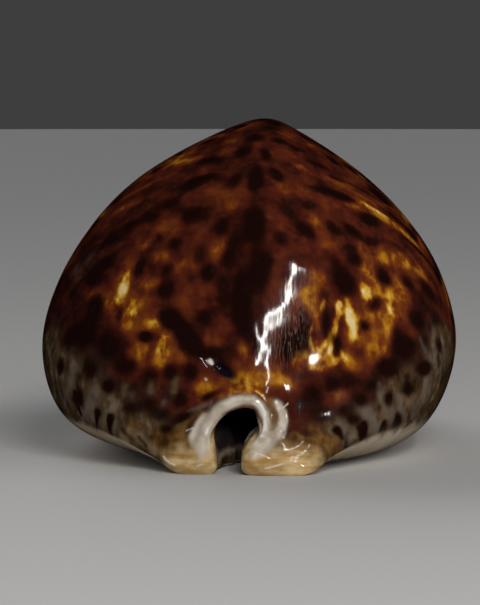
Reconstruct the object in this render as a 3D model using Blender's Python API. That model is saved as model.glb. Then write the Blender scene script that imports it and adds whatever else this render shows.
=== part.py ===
"""A tiger cowrie shell at its real size, lying on its base with its back up.

The shell is one wall of enamelled shell rolled round a hollow. The two lips of the wall turn in along the base and
leave a toothed slit between them, and at each end the slit rises into a short canal between two flanges.

Axes: Y runs along the shell, with the spire's end at -Y. X runs across it, with the outer lip's side at +X.
Z is up, and the base rests on Z = 0 under the middle of the shell.
"""

import bmesh
import bpy
import numpy as np

MM = 0.001

# Driving dimensions: the shell's overall size, to which the sections below are fitted
LENGTH = 87.0 * MM
WIDTH = 61.4 * MM
HEIGHT = 48.6 * MM

# The teeth along both lips: how far they stand into the slit, and how far they run back along each skin as a share
TEETH = 22
TOOTH_REACH = 0.75 * MM
TOOTH_LENGTH = 0.10
RINGS_PER_TOOTH = 3
TOOTHED_FROM = -36.0 * MM
TOOTHED_TO = 39.5 * MM

# The rest of the mesh: rings between the teeth and each tip, and points across each skin of the wall
TIP_RINGS = 9
SKIN_POINTS = 29

# The round of the wall's edge at each tip, as a share of the shell's length
EDGE_ROUND = 0.055

# Points closer than this are one
WELD = 0.002 * MM

# The little pit that the enamel leaves over the spire
PIT_CENTRE = (-4.4 * MM, 15.6 * MM)
PIT_LONG = 3.3 * MM
PIT_SHORT = 1.35 * MM
PIT_TURN = -0.62
PIT_DEPTH = 1.4 * MM

# Sections from the spire's end to the front end, in millimetres: place along the shell, middle and height of the
# back, half widths at -X and +X, height of the widest point, share of the canal's outline, middle and half width of
# the slit, thickness of the wall and of the base, and how far the base lifts off the ground at -X and +X
SECTION_FIELDS = "y mid top left right widest rim slit gap wall base lift_left lift_right".split()
SECTIONS = [
    (-44.8, -1.6, 14.0, 10.0, 10.0, 4.0, 1.00, -3.2, 1.8, 2.0, 5.0, 0.0, 0.0),
    (-43.8, -1.6, 15.0, 12.0, 12.0, 4.4, 1.00, -3.2, 1.8, 2.6, 5.2, 0.6, 0.6),
    (-42.4, -1.2, 18.0, 16.5, 15.0, 6.0, 0.85, -3.2, 1.8, 4.2, 5.6, 1.8, 1.4),
    (-40.0, -0.6, 24.0, 21.0, 18.5, 8.0, 0.38, -3.0, 1.7, 6.0, 6.2, 2.8, 2.2),
    (-36.0, 0.1, 31.0, 25.6, 22.4, 10.2, 0.08, -2.2, 1.7, 6.4, 7.0, 2.8, 2.0),
    (-29.0, 0.9, 38.6, 30.4, 26.4, 12.4, 0.00, 0.2, 1.7, 5.0, 7.4, 1.6, 1.0),
    (-18.0, 1.6, 45.8, 33.4, 28.9, 13.9, 0.00, 3.2, 1.8, 4.2, 7.6, 0.2, 0.2),
    (-4.0, 2.0, 49.9, 33.9, 29.2, 14.4, 0.00, 4.8, 2.0, 3.8, 7.6, 0.0, 0.0),
    (10.0, 1.9, 47.2, 31.4, 27.6, 13.8, 0.00, 5.0, 2.5, 3.8, 7.4, 0.2, 0.2),
    (22.5, 1.6, 40.4, 26.4, 23.8, 12.2, 0.00, 4.3, 3.2, 4.0, 7.0, 0.8, 0.8),
    (32.5, 1.3, 31.2, 20.2, 18.8, 10.0, 0.04, 3.0, 3.4, 4.4, 6.4, 1.3, 1.3),
    (39.0, 1.1, 22.4, 15.2, 14.4, 7.6, 0.34, 1.6, 3.2, 4.2, 5.8, 1.2, 1.2),
    (42.6, 0.9, 15.4, 11.6, 11.2, 5.4, 0.85, 1.2, 2.9, 3.0, 5.2, 0.6, 0.6),
    (44.4, 0.8, 12.0, 8.0, 8.0, 4.0, 1.00, 1.0, 2.7, 2.0, 4.8, 0.1, 0.1),
    (45.6, 0.8, 11.4, 7.4, 7.4, 3.8, 1.00, 1.0, 2.7, 1.9, 4.6, 0.0, 0.0),
]

# The base from the lip out to the margin, at -X and +X: shares of the way from the lip to the widest point
BASE_LEFT = (0.10, 0.30, 0.54, 0.76, 0.93)
BASE_RIGHT = (0.10, 0.30, 0.54, 0.72, 0.87)

# Height of the lip's rounded edge, and how far the base's controls reach below Z = 0, where the base is ground flat
LIP_UP = 0.9
BASE_DOWN = 0.4

# The back from its widest point up to the crown: share of the half width, share of the height above that point
BACK_LEFT = [(1.000, 0.03), (0.945, 0.25), (0.840, 0.46), (0.610, 0.745), (0.150, 0.965)]
BACK_RIGHT = [(0.990, 0.03), (0.930, 0.25), (0.830, 0.46), (0.535, 0.745), (0.120, 0.962)]

# Outlines of the wall at the spire's tip, from the lip at +X over the canal to the lip at -X, in millimetres: across,
# up, and how far the point stands in front of (+) or behind (-) its section. The core is the crest of the wall's edge.
SPIRE_TIP_OUTSIDE = [
    (-1.9, 0.9, -0.8), (-1.7, 0.1, -0.8), (0.4, -0.4, -1.1), (3.0, -0.4, -1.8), (5.8, -0.3, -2.1),
    (8.4, 0.3, -1.6), (10.2, 2.2, -0.2), (8.4, 4.4, 0.4), (5.0, 5.6, 0.8), (3.4, 7.6, 1.0),
    (2.6, 10.2, 1.2), (0.9, 11.6, 1.4), (-1.3, 12.0, 1.5), (-3.6, 11.6, 1.4), (-6.0, 10.4, 1.2),
    (-7.8, 8.2, 1.0), (-8.8, 6.0, 0.8), (-10.8, 4.4, 0.8), (-13.2, 2.4, 1.6), (-12.0, 0.6, 0.9),
    (-10.2, -0.2, 0.2), (-8.2, -0.4, -0.3), (-6.6, -0.4, 0.0), (-5.4, 0.1, 0.3), (-5.1, 0.9, 0.3),
]
SPIRE_TIP_CORE = [
    (-1.0, 1.6, -0.6), (-0.8, 1.9, -0.6), (-0.6, 2.4, -0.6), (-0.5, 3.1, -0.4), (-0.2, 3.9, 0.0),
    (0.4, 4.5, 0.3), (1.2, 5.2, 0.6), (1.8, 6.2, 0.8), (1.9, 7.4, 1.0), (1.6, 8.8, 1.2),
    (0.8, 9.8, 1.3), (-0.3, 10.2, 1.4), (-1.3, 10.3, 1.4), (-2.5, 10.1, 1.4), (-3.7, 9.6, 1.3),
    (-4.9, 8.8, 1.2), (-5.8, 7.8, 1.1), (-6.3, 6.7, 1.0), (-6.5, 5.7, 0.9), (-6.5, 4.8, 0.8),
    (-6.5, 4.0, 0.7), (-6.5, 3.2, 0.6), (-6.5, 2.5, 0.5), (-6.3, 1.9, 0.5), (-6.1, 1.6, 0.5),
]
SPIRE_TIP_INSIDE = [
    (-1.9, 0.9, -0.8), (-1.9, 1.8, -0.6), (-1.9, 2.7, -0.4), (-1.8, 3.6, 0.0), (-1.4, 4.4, 0.4),
    (-0.8, 5.0, 0.6), (-0.1, 5.5, 0.8), (0.4, 6.3, 0.9), (0.6, 7.2, 1.0), (0.4, 8.0, 1.2),
    (0.0, 8.5, 1.3), (-0.7, 8.8, 1.4), (-1.4, 8.8, 1.4), (-2.2, 8.6, 1.4), (-3.0, 8.3, 1.3),
    (-3.9, 7.8, 1.2), (-4.6, 7.1, 1.1), (-5.0, 6.3, 1.0), (-5.2, 5.5, 0.9), (-5.2, 4.8, 0.8),
    (-5.2, 4.1, 0.7), (-5.2, 3.4, 0.6), (-5.2, 2.6, 0.5), (-5.2, 1.8, 0.4), (-5.1, 0.9, 0.3),
]

# One half of the same outlines at the front tip, out from the slit and up to over the canal. Both halves are alike.
FRONT_TIP_MIDDLE = 1.0
FRONT_TIP_OUTSIDE = [
    (2.8, 0.9, -0.3), (3.0, 0.1, -0.3), (4.2, -0.4, 0.0), (5.6, -0.4, 0.3), (7.2, -0.2, 0.4),
    (8.9, 0.5, 0.2), (10.4, 2.0, 0.0), (8.6, 4.0, 0.0), (6.4, 5.4, 0.0), (5.2, 7.4, -0.4),
    (4.0, 10.2, -0.8), (2.0, 11.4, -1.0), (0.0, 11.8, -1.2),
]
FRONT_TIP_CORE = [
    (3.7, 1.7, -0.5), (3.9, 2.0, -0.5), (4.1, 2.5, -0.5), (4.2, 3.2, -0.5), (4.3, 4.0, -0.4),
    (4.4, 4.9, -0.4), (4.4, 5.8, -0.5), (4.2, 6.8, -0.6), (3.8, 7.8, -0.8), (3.1, 8.9, -0.9),
    (2.2, 9.8, -1.0), (1.1, 10.3, -1.1), (0.0, 10.5, -1.2),
]
FRONT_TIP_INSIDE = [
    (2.8, 0.9, -0.3), (2.8, 1.6, -0.4), (2.8, 2.3, -0.4), (2.8, 3.0, -0.5), (2.9, 3.8, -0.6),
    (3.0, 4.6, -0.6), (3.0, 5.4, -0.7), (2.8, 6.2, -0.8), (2.5, 7.0, -0.9), (2.0, 7.9, -1.0),
    (1.4, 8.6, -1.1), (0.7, 9.0, -1.2), (0.0, 9.1, -1.2),
]

SHELL_BROWN = (0.115, 0.040, 0.020, 1.0)


def spline(controls, at):
    """Points at parameters 0..1 on the clamped cubic B-spline through the first axis of an array of controls."""
    count = len(controls)
    knots = np.concatenate([[0.0] * 3, np.linspace(0.0, 1.0, count - 2), [1.0] * 3])
    at = np.clip(np.asarray(at, float), 0.0, 1.0 - 1e-12)[:, None]
    basis = ((knots[:-1] <= at) & (at < knots[1:])).astype(float)
    for degree in (1, 2, 3):
        spans = len(knots) - degree - 1
        rise, fall = knots[degree : degree + spans], knots[degree + 1 : degree + 1 + spans]
        start, after = knots[:spans], knots[1 : 1 + spans]
        up = (at - start) / np.where(rise > start, rise - start, np.inf)
        down = (fall - at) / np.where(fall > after, fall - after, np.inf)
        basis = up * basis[:, :spans] + down * basis[:, 1 : spans + 1]
    return np.tensordot(basis, np.asarray(controls, float), 1)


def back(section, side, foot, widest, top):
    """Controls of one half of the back, from its widest point to beside the crown."""
    shape = BACK_RIGHT if side > 0 else BACK_LEFT
    reach = foot - section["mid"]
    return [(section["mid"] + reach * across, widest + (top - widest) * up) for across, up in shape]


def half_outside(section, side):
    """Controls of one half of the outside, from inside the slit over the base and margin to the crown."""
    lip = section["slit"] + side * section["gap"]
    foot = section["mid"] + side * (section["right"] if side > 0 else section["left"])
    lift = section["lift_right"] if side > 0 else section["lift_left"]
    reach = foot - lip
    widest = section["widest"]
    near, low, mid_base, edge, margin = BASE_RIGHT if side > 0 else BASE_LEFT
    lip_and_base = [
        (lip, LIP_UP),
        (lip + side * 0.1, 0.2),
        (lip + near * reach, -BASE_DOWN),
        (lip + low * reach, 0.3 * lift - BASE_DOWN),
        (lip + mid_base * reach, 0.7 * lift - 0.75 * BASE_DOWN),
        (lip + edge * reach, 0.13 * widest + lift),
        (lip + margin * reach, 0.41 * widest + 0.7 * lift),
    ]
    return lip_and_base + back(section, side, foot, widest, section["top"])


def half_inside(section, side):
    """Controls of one half of the hollow, from inside the slit over the floor and wall to under the crown."""
    lip = section["slit"] + side * section["gap"]
    half_width = section["right"] if side > 0 else section["left"]
    foot = section["mid"] + side * (half_width - 1.15 * section["wall"])
    reach = foot - lip
    floor = section["base"]
    top = section["top"] - section["wall"]
    widest = max(section["widest"], floor + 0.22 * (top - floor))
    lip_and_floor = [
        (lip, LIP_UP),
        (lip, 0.35 * floor),
        (lip, 0.65 * floor),
        (lip + side * 0.3, 0.95 * floor),
        (lip + 0.25 * reach, 1.02 * floor),
        (lip + 0.62 * reach, floor),
        (lip + 0.93 * reach, floor + 0.15 * (widest - floor)),
    ]
    return lip_and_floor + back(section, side, foot, widest, top)


def half_core(section, side):
    """Controls of one half of the surface in the middle of the wall."""
    pairs = zip(half_outside(section, side), half_inside(section, side))
    return [(0.5 * (x_out + x_in), 0.5 * (z_out + z_in)) for (x_out, z_out), (x_in, z_in) in pairs]


def both_halves(half):
    """The whole outline of the front tip from its half."""
    left = [(FRONT_TIP_MIDDLE - across, up, along) for across, up, along in half]
    right = [(FRONT_TIP_MIDDLE + across, up, along) for across, up, along in half]
    return right + left[-2::-1]


def control_net(half, spire_tip, front_tip, sunk):
    """Controls of one surface of the wall: a row for each section, from the lip at +X round to the lip at -X."""
    net = []
    for number, values in enumerate(SECTIONS):
        section = dict(zip(SECTION_FIELDS, values))
        crown = (section["mid"], section["top"] - sunk * section["wall"])
        outline = half(section, 1) + [crown] + half(section, -1)[::-1]
        body = np.array([(across, section["y"], up) for across, up in outline])
        tip_outline = spire_tip if section["y"] < 0.0 else both_halves(front_tip)
        tip = np.array([(across, section["y"] + along, up) for across, up, along in tip_outline])
        net.append(body + section["rim"] * (tip - body))
    return np.array(net) * MM


def skin(net, along, around):
    """Points of a skin at each pair of parameters."""
    rows = spline(net, along)
    return np.moveaxis(spline(np.moveaxis(rows, 1, 0), around), 0, 1)


def ring_parameters(net):
    """Parameters along the shell of every ring: a few to each tooth, and closer ones to round off the tips."""
    fine = np.linspace(0.0, 1.0, 2001)
    place = spline(net[:, len(net[0]) // 2, 1], fine)
    toothed = np.linspace(TOOTHED_FROM, TOOTHED_TO, TEETH * RINGS_PER_TOOTH + 1)
    first, last = np.interp([TOOTHED_FROM, TOOTHED_TO], place, fine)
    spread = np.linspace(0.0, 1.0, TIP_RINGS + 1)[:-1] ** 1.6
    spire = first * spread
    front = 1.0 - (1.0 - last) * spread[::-1]
    return np.concatenate([spire, np.interp(toothed, place, fine), front])


def tooth_wave(rings):
    """How far the teeth stand out at each ring, from 0 between two teeth to 1 on one."""
    number = np.arange(rings) - TIP_RINGS
    inside = (number >= 0) & (number <= TEETH * RINGS_PER_TOOTH)
    wave = 0.5 - 0.5 * np.cos(2.0 * np.pi * number / RINGS_PER_TOOTH)
    return np.where(inside, wave, 0.0)


def close_to_lip(around, reach):
    """1 at the two lips of a skin, falling smoothly to 0 at the given parameter from each."""
    left = np.clip(around / reach, 0.0, 1.0)
    right = np.clip((1.0 - around) / reach, 0.0, 1.0)
    near = 1.0 - np.minimum(left, right)
    return near * near * (3.0 - 2.0 * near)


def sink_pit(points):
    """Presses the spire's pit into the outside at the -Y end."""
    across = points[..., 0] - PIT_CENTRE[0]
    up = points[..., 2] - PIT_CENTRE[1]
    cos, sin = np.cos(PIT_TURN), np.sin(PIT_TURN)
    long = (across * cos + up * sin) / PIT_LONG
    short = (up * cos - across * sin) / PIT_SHORT
    sunk = PIT_DEPTH * np.exp(-(long**2) - short**2)
    at_spire = points[..., 1] < -0.2 * LENGTH
    points[..., 1] += np.where(at_spire, sunk, 0.0)


def wall_rings():
    """The wall as closed rings of points, each over the outside from +X to -X and back through the inside."""
    outside_net = control_net(half_outside, SPIRE_TIP_OUTSIDE, FRONT_TIP_OUTSIDE, 0.0)
    inside_net = control_net(half_inside, SPIRE_TIP_INSIDE, FRONT_TIP_INSIDE, 1.0)
    core_net = control_net(half_core, SPIRE_TIP_CORE, FRONT_TIP_CORE, 0.5)
    along = ring_parameters(outside_net)
    around = np.linspace(0.0, 1.0, SKIN_POINTS)
    outside = skin(outside_net, along, around)
    inside = skin(inside_net, along, around)
    core = skin(core_net, along, around)
    sink_pit(outside)

    side = np.where(around < 0.5, -1.0, 1.0)
    teeth = TOOTH_REACH * tooth_wave(len(along))[:, None] * close_to_lip(around, TOOTH_LENGTH) * side
    outside[..., 0] += teeth
    inside[..., 0] += teeth

    # Both skins draw in to the core over the last stretch, which rounds the wall's edge off
    left_over = 1.0 - np.clip(np.minimum(along, 1.0 - along) / EDGE_ROUND, 0.0, 1.0)
    share = np.sqrt(1.0 - left_over**2)[:, None, None]
    outside = core + share * (outside - core)
    inside = core + share * (inside - core)

    # The first point is given again at the end of each ring, where the seam is welded
    rings = np.concatenate([outside, inside[:, -2::-1]], 1)
    rings[..., 2] = np.maximum(rings[..., 2], 0.0)
    low = rings.min((0, 1))
    high = rings.max((0, 1))
    rings -= [0.5 * (low[0] + high[0]), 0.5 * (low[1] + high[1]), low[2]]
    return rings * np.array([WIDTH, LENGTH, HEIGHT]) / (high - low)


def make_material():
    material = bpy.data.materials.new("shell_brown")
    material.use_nodes = True
    shader = material.node_tree.nodes["Principled BSDF"]
    shader.inputs["Base Color"].default_value = SHELL_BROWN
    shader.inputs["Roughness"].default_value = 0.12
    shader.inputs["Metallic"].default_value = 0.0
    return material


def make_shell():
    """Wraps a flat grid round the wall, and welds it along its seam and at the two tips."""
    rings = wall_rings()
    ring_count, point_count = rings.shape[:2]
    shape = bmesh.new()
    bmesh.ops.create_grid(shape, x_segments=point_count - 1, y_segments=ring_count - 1, size=0.5)
    for vertex in shape.verts:
        point = round((vertex.co.x + 0.5) * (point_count - 1))
        ring = round((vertex.co.y + 0.5) * (ring_count - 1))
        vertex.co = rings[ring, point]
    bmesh.ops.remove_doubles(shape, verts=shape.verts, dist=WELD)
    bmesh.ops.recalc_face_normals(shape, faces=shape.faces)
    mesh = bpy.data.meshes.new("shell")
    shape.to_mesh(mesh)
    shape.free()
    mesh.shade_smooth()
    mesh.materials.append(make_material())
    shell = bpy.data.objects.new("shell", mesh)
    bpy.context.scene.collection.objects.link(shell)
    return shell


for old in list(bpy.data.objects):
    bpy.data.objects.remove(old)
make_shell()
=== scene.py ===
"""A tiger cowrie shell with its dark, spotted enamel, resting on a pale floor under soft studio light."""

import bpy
import numpy as np
from bpy.props import FloatProperty, FloatVectorProperty, PointerProperty
from mathutils import Matrix, Vector


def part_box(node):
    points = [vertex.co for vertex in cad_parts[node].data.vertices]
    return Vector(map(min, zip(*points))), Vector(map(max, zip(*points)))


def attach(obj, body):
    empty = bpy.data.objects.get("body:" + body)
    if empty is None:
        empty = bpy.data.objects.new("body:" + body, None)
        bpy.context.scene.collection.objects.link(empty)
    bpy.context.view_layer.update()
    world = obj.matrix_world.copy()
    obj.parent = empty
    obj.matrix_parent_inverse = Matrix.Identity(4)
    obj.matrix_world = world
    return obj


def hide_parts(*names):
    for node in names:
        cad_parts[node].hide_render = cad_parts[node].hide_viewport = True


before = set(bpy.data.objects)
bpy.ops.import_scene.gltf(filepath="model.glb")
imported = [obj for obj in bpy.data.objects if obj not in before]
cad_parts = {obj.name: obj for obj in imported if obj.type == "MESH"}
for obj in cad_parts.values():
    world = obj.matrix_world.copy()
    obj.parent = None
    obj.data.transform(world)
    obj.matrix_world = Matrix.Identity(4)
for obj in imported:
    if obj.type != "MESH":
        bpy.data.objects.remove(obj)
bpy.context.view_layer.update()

bl_info = {
    "name": "Tiger cowrie shell",
    "version": (1, 0, 0),
    "blender": (4, 5, 0),
    "location": "3D View > Sidebar > Cowrie",
    "description": "Makes an enamelled tiger cowrie shell and the studio it is shown in",
    "category": "Object",
}

MM = 0.001

# Teeth on each lip, where they start and end along the shell, and how far round from the lip they fade,
# as a share of the whole way round
TEETH = 22
TOOTHED_FROM = -36.0 * MM
TOOTHED_TO = 39.5 * MM
TOOTH_SPAN = 0.10

# Rings of points along the wall: in the spire's tip, over the spire's face and the rest of the teeth, and
# in the front tip. Then the points round each ring, outside and inside.
SPIRE_RINGS = 72
FACE_LENGTH = 20.0 * MM
TOOTH_RINGS = (70, 100)
FRONT_RINGS = 36
OUTSIDE_STEPS = 300
INSIDE_STEPS = 50

# How strongly the rings crowd to the two tips, and the points of a ring to the lips
SPIRE_CROWDING = 1.45
FRONT_CROWDING = 1.6
LIP_CROWDING = 0.15

# The round of the wall's edge at each tip, as a share of the shell's length
EDGE_ROUND = 0.055

# The soft waves in the enamel: share, size in millimetres and seed
WAVES = [(0.6, 8.0, 3), (0.5, 3.6, 4)]

# The little pit that the enamel leaves over the spire: across and up, half length, half width and turn, and
# where along the shell the spire's face ends
PIT_CENTRE = (-4.3 * MM, 14.1 * MM)
PIT_LONG = 2.5 * MM
PIT_SHORT = 0.95 * MM
PIT_TURN = -0.62
PIT_SIDE = -17.0 * MM

# Sections from the spire's end to the front end, in millimetres: place along the shell, middle and height
# of the back, half widths at -X and +X, height of the widest point, share of the canal's outline, middle
# and half width of the slit, thickness of the wall and of the base, and how far the base lifts off the
# ground at -X and +X
SECTION_FIELDS = "y mid top left right widest rim slit gap wall base lift_left lift_right".split()
SECTIONS = [
    (-44.8, -1.6, 14.0, 10.0, 10.0, 4.0, 1.00, -3.2, 1.8, 2.0, 5.0, 0.0, 0.0),
    (-43.8, -1.6, 15.0, 12.0, 12.0, 4.4, 1.00, -3.2, 1.8, 2.6, 5.2, 0.6, 0.6),
    (-42.4, -1.2, 18.0, 16.5, 15.0, 6.0, 0.85, -3.2, 1.8, 4.2, 5.6, 1.8, 1.4),
    (-40.0, -0.6, 24.0, 21.0, 18.5, 8.0, 0.38, -3.0, 1.7, 6.0, 6.2, 2.8, 2.2),
    (-36.0, 0.1, 31.0, 25.6, 22.4, 10.2, 0.08, -2.2, 1.7, 6.4, 7.0, 2.8, 2.0),
    (-29.0, 0.9, 38.6, 30.4, 26.4, 12.4, 0.00, 0.2, 1.7, 5.0, 7.4, 1.6, 1.0),
    (-18.0, 1.6, 45.8, 33.4, 28.9, 13.9, 0.00, 3.2, 1.8, 4.2, 7.6, 0.2, 0.2),
    (-4.0, 2.0, 49.9, 33.9, 29.2, 14.4, 0.00, 4.8, 2.0, 3.8, 7.6, 0.0, 0.0),
    (10.0, 1.9, 47.2, 31.4, 27.6, 13.8, 0.00, 5.0, 2.5, 3.8, 7.4, 0.2, 0.2),
    (22.5, 1.6, 40.4, 26.4, 23.8, 12.2, 0.00, 4.3, 3.2, 4.0, 7.0, 0.8, 0.8),
    (32.5, 1.3, 31.2, 20.2, 18.8, 10.0, 0.04, 3.0, 3.4, 4.4, 6.4, 1.3, 1.3),
    (39.0, 1.1, 22.4, 15.2, 14.4, 7.6, 0.34, 1.6, 3.2, 4.2, 5.8, 1.2, 1.2),
    (42.6, 0.9, 15.4, 11.6, 11.2, 5.4, 0.85, 1.2, 2.9, 3.0, 5.2, 0.6, 0.6),
    (44.4, 0.8, 12.0, 8.0, 8.0, 4.0, 1.00, 1.0, 2.7, 2.0, 4.8, 0.1, 0.1),
    (45.6, 0.8, 11.4, 7.4, 7.4, 3.8, 1.00, 1.0, 2.7, 1.9, 4.6, 0.0, 0.0),
]

# The base from the lip out to the margin, at -X and +X: shares of the way from the lip to the widest
# point
BASE_LEFT = (0.10, 0.30, 0.54, 0.76, 0.93)
BASE_RIGHT = (0.10, 0.30, 0.54, 0.72, 0.87)

# Height of the lip's rounded edge, and how far the base's controls reach below Z = 0, where it is ground
# flat
LIP_UP = 0.9
BASE_DOWN = 0.4

# The back from its widest point to the crown: share of the half width, share of the height above that
# point
BACK_LEFT = [(1.000, 0.03), (0.945, 0.25), (0.840, 0.46), (0.610, 0.745), (0.150, 0.965)]
BACK_RIGHT = [(0.990, 0.03), (0.930, 0.25), (0.830, 0.46), (0.535, 0.745), (0.120, 0.962)]

# Outlines of the wall at the spire's tip, from the lip at +X over the canal to the lip at -X, in
# millimetres: across, up, and how far the point stands in front of (+) or behind (-) its section. The
# core is the crest of the wall's edge.
SPIRE_TIP_OUTSIDE = [
    (-1.9, 0.9, -0.8), (-1.7, 0.1, -0.8), (0.4, -0.4, -1.1), (3.0, -0.4, -1.8), (5.8, -0.3, -2.1),
    (8.4, 0.3, -1.6), (10.2, 2.2, -0.2), (8.4, 4.4, 0.4), (5.0, 5.6, 0.8), (3.4, 7.6, 1.0),
    (2.6, 10.2, 1.2), (0.9, 11.6, 1.4), (-1.3, 12.0, 1.5), (-3.6, 11.6, 1.4), (-6.0, 10.4, 1.2),
    (-7.8, 8.2, 1.0), (-8.8, 6.0, 0.8), (-10.8, 4.4, 0.8), (-13.2, 2.4, 1.6), (-12.0, 0.6, 0.9),
    (-10.2, -0.2, 0.2), (-8.2, -0.4, -0.3), (-6.6, -0.4, 0.0), (-5.4, 0.1, 0.3), (-5.1, 0.9, 0.3),
]
SPIRE_TIP_CORE = [
    (-1.0, 1.6, -0.6), (-0.8, 1.9, -0.6), (-0.6, 2.4, -0.6), (-0.5, 3.1, -0.4), (-0.2, 3.9, 0.0),
    (0.2, 4.5, 0.3), (0.8, 5.2, 0.6), (1.3, 6.2, 0.8), (1.4, 7.4, 1.0), (1.1, 8.8, 1.2),
    (0.5, 9.8, 1.3), (-0.3, 10.2, 1.4), (-1.3, 10.3, 1.4), (-2.5, 10.1, 1.4), (-3.7, 9.6, 1.3),
    (-4.9, 8.8, 1.2), (-5.8, 7.8, 1.1), (-6.3, 6.7, 1.0), (-6.5, 5.7, 0.9), (-6.5, 4.8, 0.8),
    (-6.5, 4.0, 0.7), (-6.5, 3.2, 0.6), (-6.5, 2.5, 0.5), (-6.3, 1.9, 0.5), (-6.1, 1.6, 0.5),
]
SPIRE_TIP_INSIDE = [
    (-1.9, 0.9, -0.8), (-1.9, 1.8, -0.6), (-1.9, 2.7, -0.4), (-1.8, 3.6, 0.0), (-1.4, 4.4, 0.4),
    (-1.0, 5.0, 0.6), (-0.5, 5.5, 0.8), (-0.1, 6.3, 0.9), (0.1, 7.2, 1.0), (-0.1, 8.0, 1.2),
    (-0.3, 8.5, 1.3), (-0.7, 8.8, 1.4), (-1.4, 8.8, 1.4), (-2.2, 8.6, 1.4), (-3.0, 8.3, 1.3),
    (-3.9, 7.8, 1.2), (-4.6, 7.1, 1.1), (-5.0, 6.3, 1.0), (-5.2, 5.5, 0.9), (-5.2, 4.8, 0.8),
    (-5.2, 4.1, 0.7), (-5.2, 3.4, 0.6), (-5.2, 2.6, 0.5), (-5.2, 1.8, 0.4), (-5.1, 0.9, 0.3),
]

# One half of the same outlines at the front tip, from the slit up to over the canal. Both halves are
# alike.
FRONT_TIP_MIDDLE = 1.0
FRONT_TIP_OUTSIDE = [
    (2.8, 0.9, -0.3), (3.0, 0.1, -0.3), (4.2, -0.4, 0.0), (5.6, -0.4, 0.3), (7.2, -0.2, 0.4),
    (8.9, 0.5, 0.2), (10.4, 2.0, 0.0), (8.6, 4.0, 0.0), (6.4, 5.4, 0.0), (5.2, 7.4, -0.4),
    (4.0, 10.2, -0.8), (2.0, 11.4, -1.0), (0.0, 11.8, -1.2),
]
FRONT_TIP_CORE = [
    (3.7, 1.7, -0.5), (3.9, 2.0, -0.5), (4.1, 2.5, -0.5), (4.2, 3.2, -0.5), (4.3, 4.0, -0.4),
    (4.4, 4.9, -0.4), (4.4, 5.8, -0.5), (4.2, 6.8, -0.6), (3.8, 7.8, -0.8), (3.1, 8.9, -0.9),
    (2.2, 9.8, -1.0), (1.1, 10.3, -1.1), (0.0, 10.5, -1.2),
]
FRONT_TIP_INSIDE = [
    (2.8, 0.9, -0.3), (2.8, 1.6, -0.4), (2.8, 2.3, -0.4), (2.8, 3.0, -0.5), (2.9, 3.8, -0.6),
    (3.0, 4.6, -0.6), (3.0, 5.4, -0.7), (2.8, 6.2, -0.8), (2.5, 7.0, -0.9), (2.0, 7.9, -1.0),
    (1.4, 8.6, -1.1), (0.7, 9.0, -1.2), (0.0, 9.1, -1.2),
]

# The strip light's bends and width, the places and sizes of the round lights and the places of the two
# skies, in metres, the spot that they all face, and their colour
STRIP_LAMP = [
    (0.265, -0.324, 0.485), (0.236, -0.400, 0.435), (0.197, -0.484, 0.372), (0.164, -0.520, 0.334),
    (0.133, -0.544, 0.314), (0.100, -0.567, 0.283), (0.071, -0.563, 0.298), (0.068, -0.556, 0.310),
]
STRIP_WIDTH = 0.007
ROUND_LAMP, ROUND_SIZE = (0.258, -0.533, 0.244), 0.028
SOFT_LAMP, SOFT_SIZE = (-0.10, -0.65, 0.30), 0.40
KEY_LAMP, KEY_SIZE = (0.14, -0.53, 0.35), 0.30
BACK_LAMP = (-0.50, 0.75, 0.28)
SIDE_LAMP = (0.80, -0.10, 0.18)
SKY_ANGLE = np.radians(60.0)
LIT_POINT = (0.0, -0.03, 0.02)
WARM_WHITE = (1.0, 0.97, 0.93)
ROOM_COLOUR = (0.80, 0.80, 0.82)
FLOOR_RADIUS = 2.5

# The camera: lens and sensor in millimetres, shift as a share of the frame, tilt, and where and from how
# far away it looks, in metres
LENS = 176.5
SENSOR = 36.0
LENS_SHIFT = (-0.0165289, -0.0363636)
CAMERA_TILT = np.radians(4.0)
CAMERA_TARGET = (0.0, 0.0, 0.024)
CAMERA_DISTANCE = 0.45

# How high the flanks' grey-brown reaches, in millimetres: by the canal, at the sides and along the shell
FLANK_BY_CANAL = 6.0
FLANK_AT_SIDES = 19.0
FLANK_ALONG = 13.0

# In millimetres: how far in from the wall's edge the hollow's painted shade starts and is full, and the front
# rim's width
HOLLOW_FROM_TO = (0.4, 3.0)
FRONT_RIM_WIDTH = 1.8

# How far a mark is looked for, in its own half widths
MARK_REACH = 2.6

# Strewn marks: spacing, least and most half width in millimetres, how much taller or lower than wide, and
# seed. The odds of a mark where none is wanted are not quite nothing.
STREWN_SPOTS = (4.2, (1.1, 2.0), 1.25, 11)
STREWN_FLANK_SPOTS = (5.2, (1.2, 2.2), 1.5, 12)
STREWN_GOLD = (5.4, (1.1, 2.4), 1.9, 13)
STREWN_SHADES = (5.0, (2.0, 3.6), 1.25, 14)
SPARSE = 0.001

# Places of the ground's colours on its scale from darkest brown to cream, and the two darkest. The others are
# settings of the shell, and so are the main colours of its marks.
GROUND_PLACES = (0.03, 0.17, 0.31, 0.45, 0.62, 0.80, 1.0)
DARKEST_BROWNS = ((0.011, 0.0032, 0.0030), (0.036, 0.0072, 0.0045))
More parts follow.
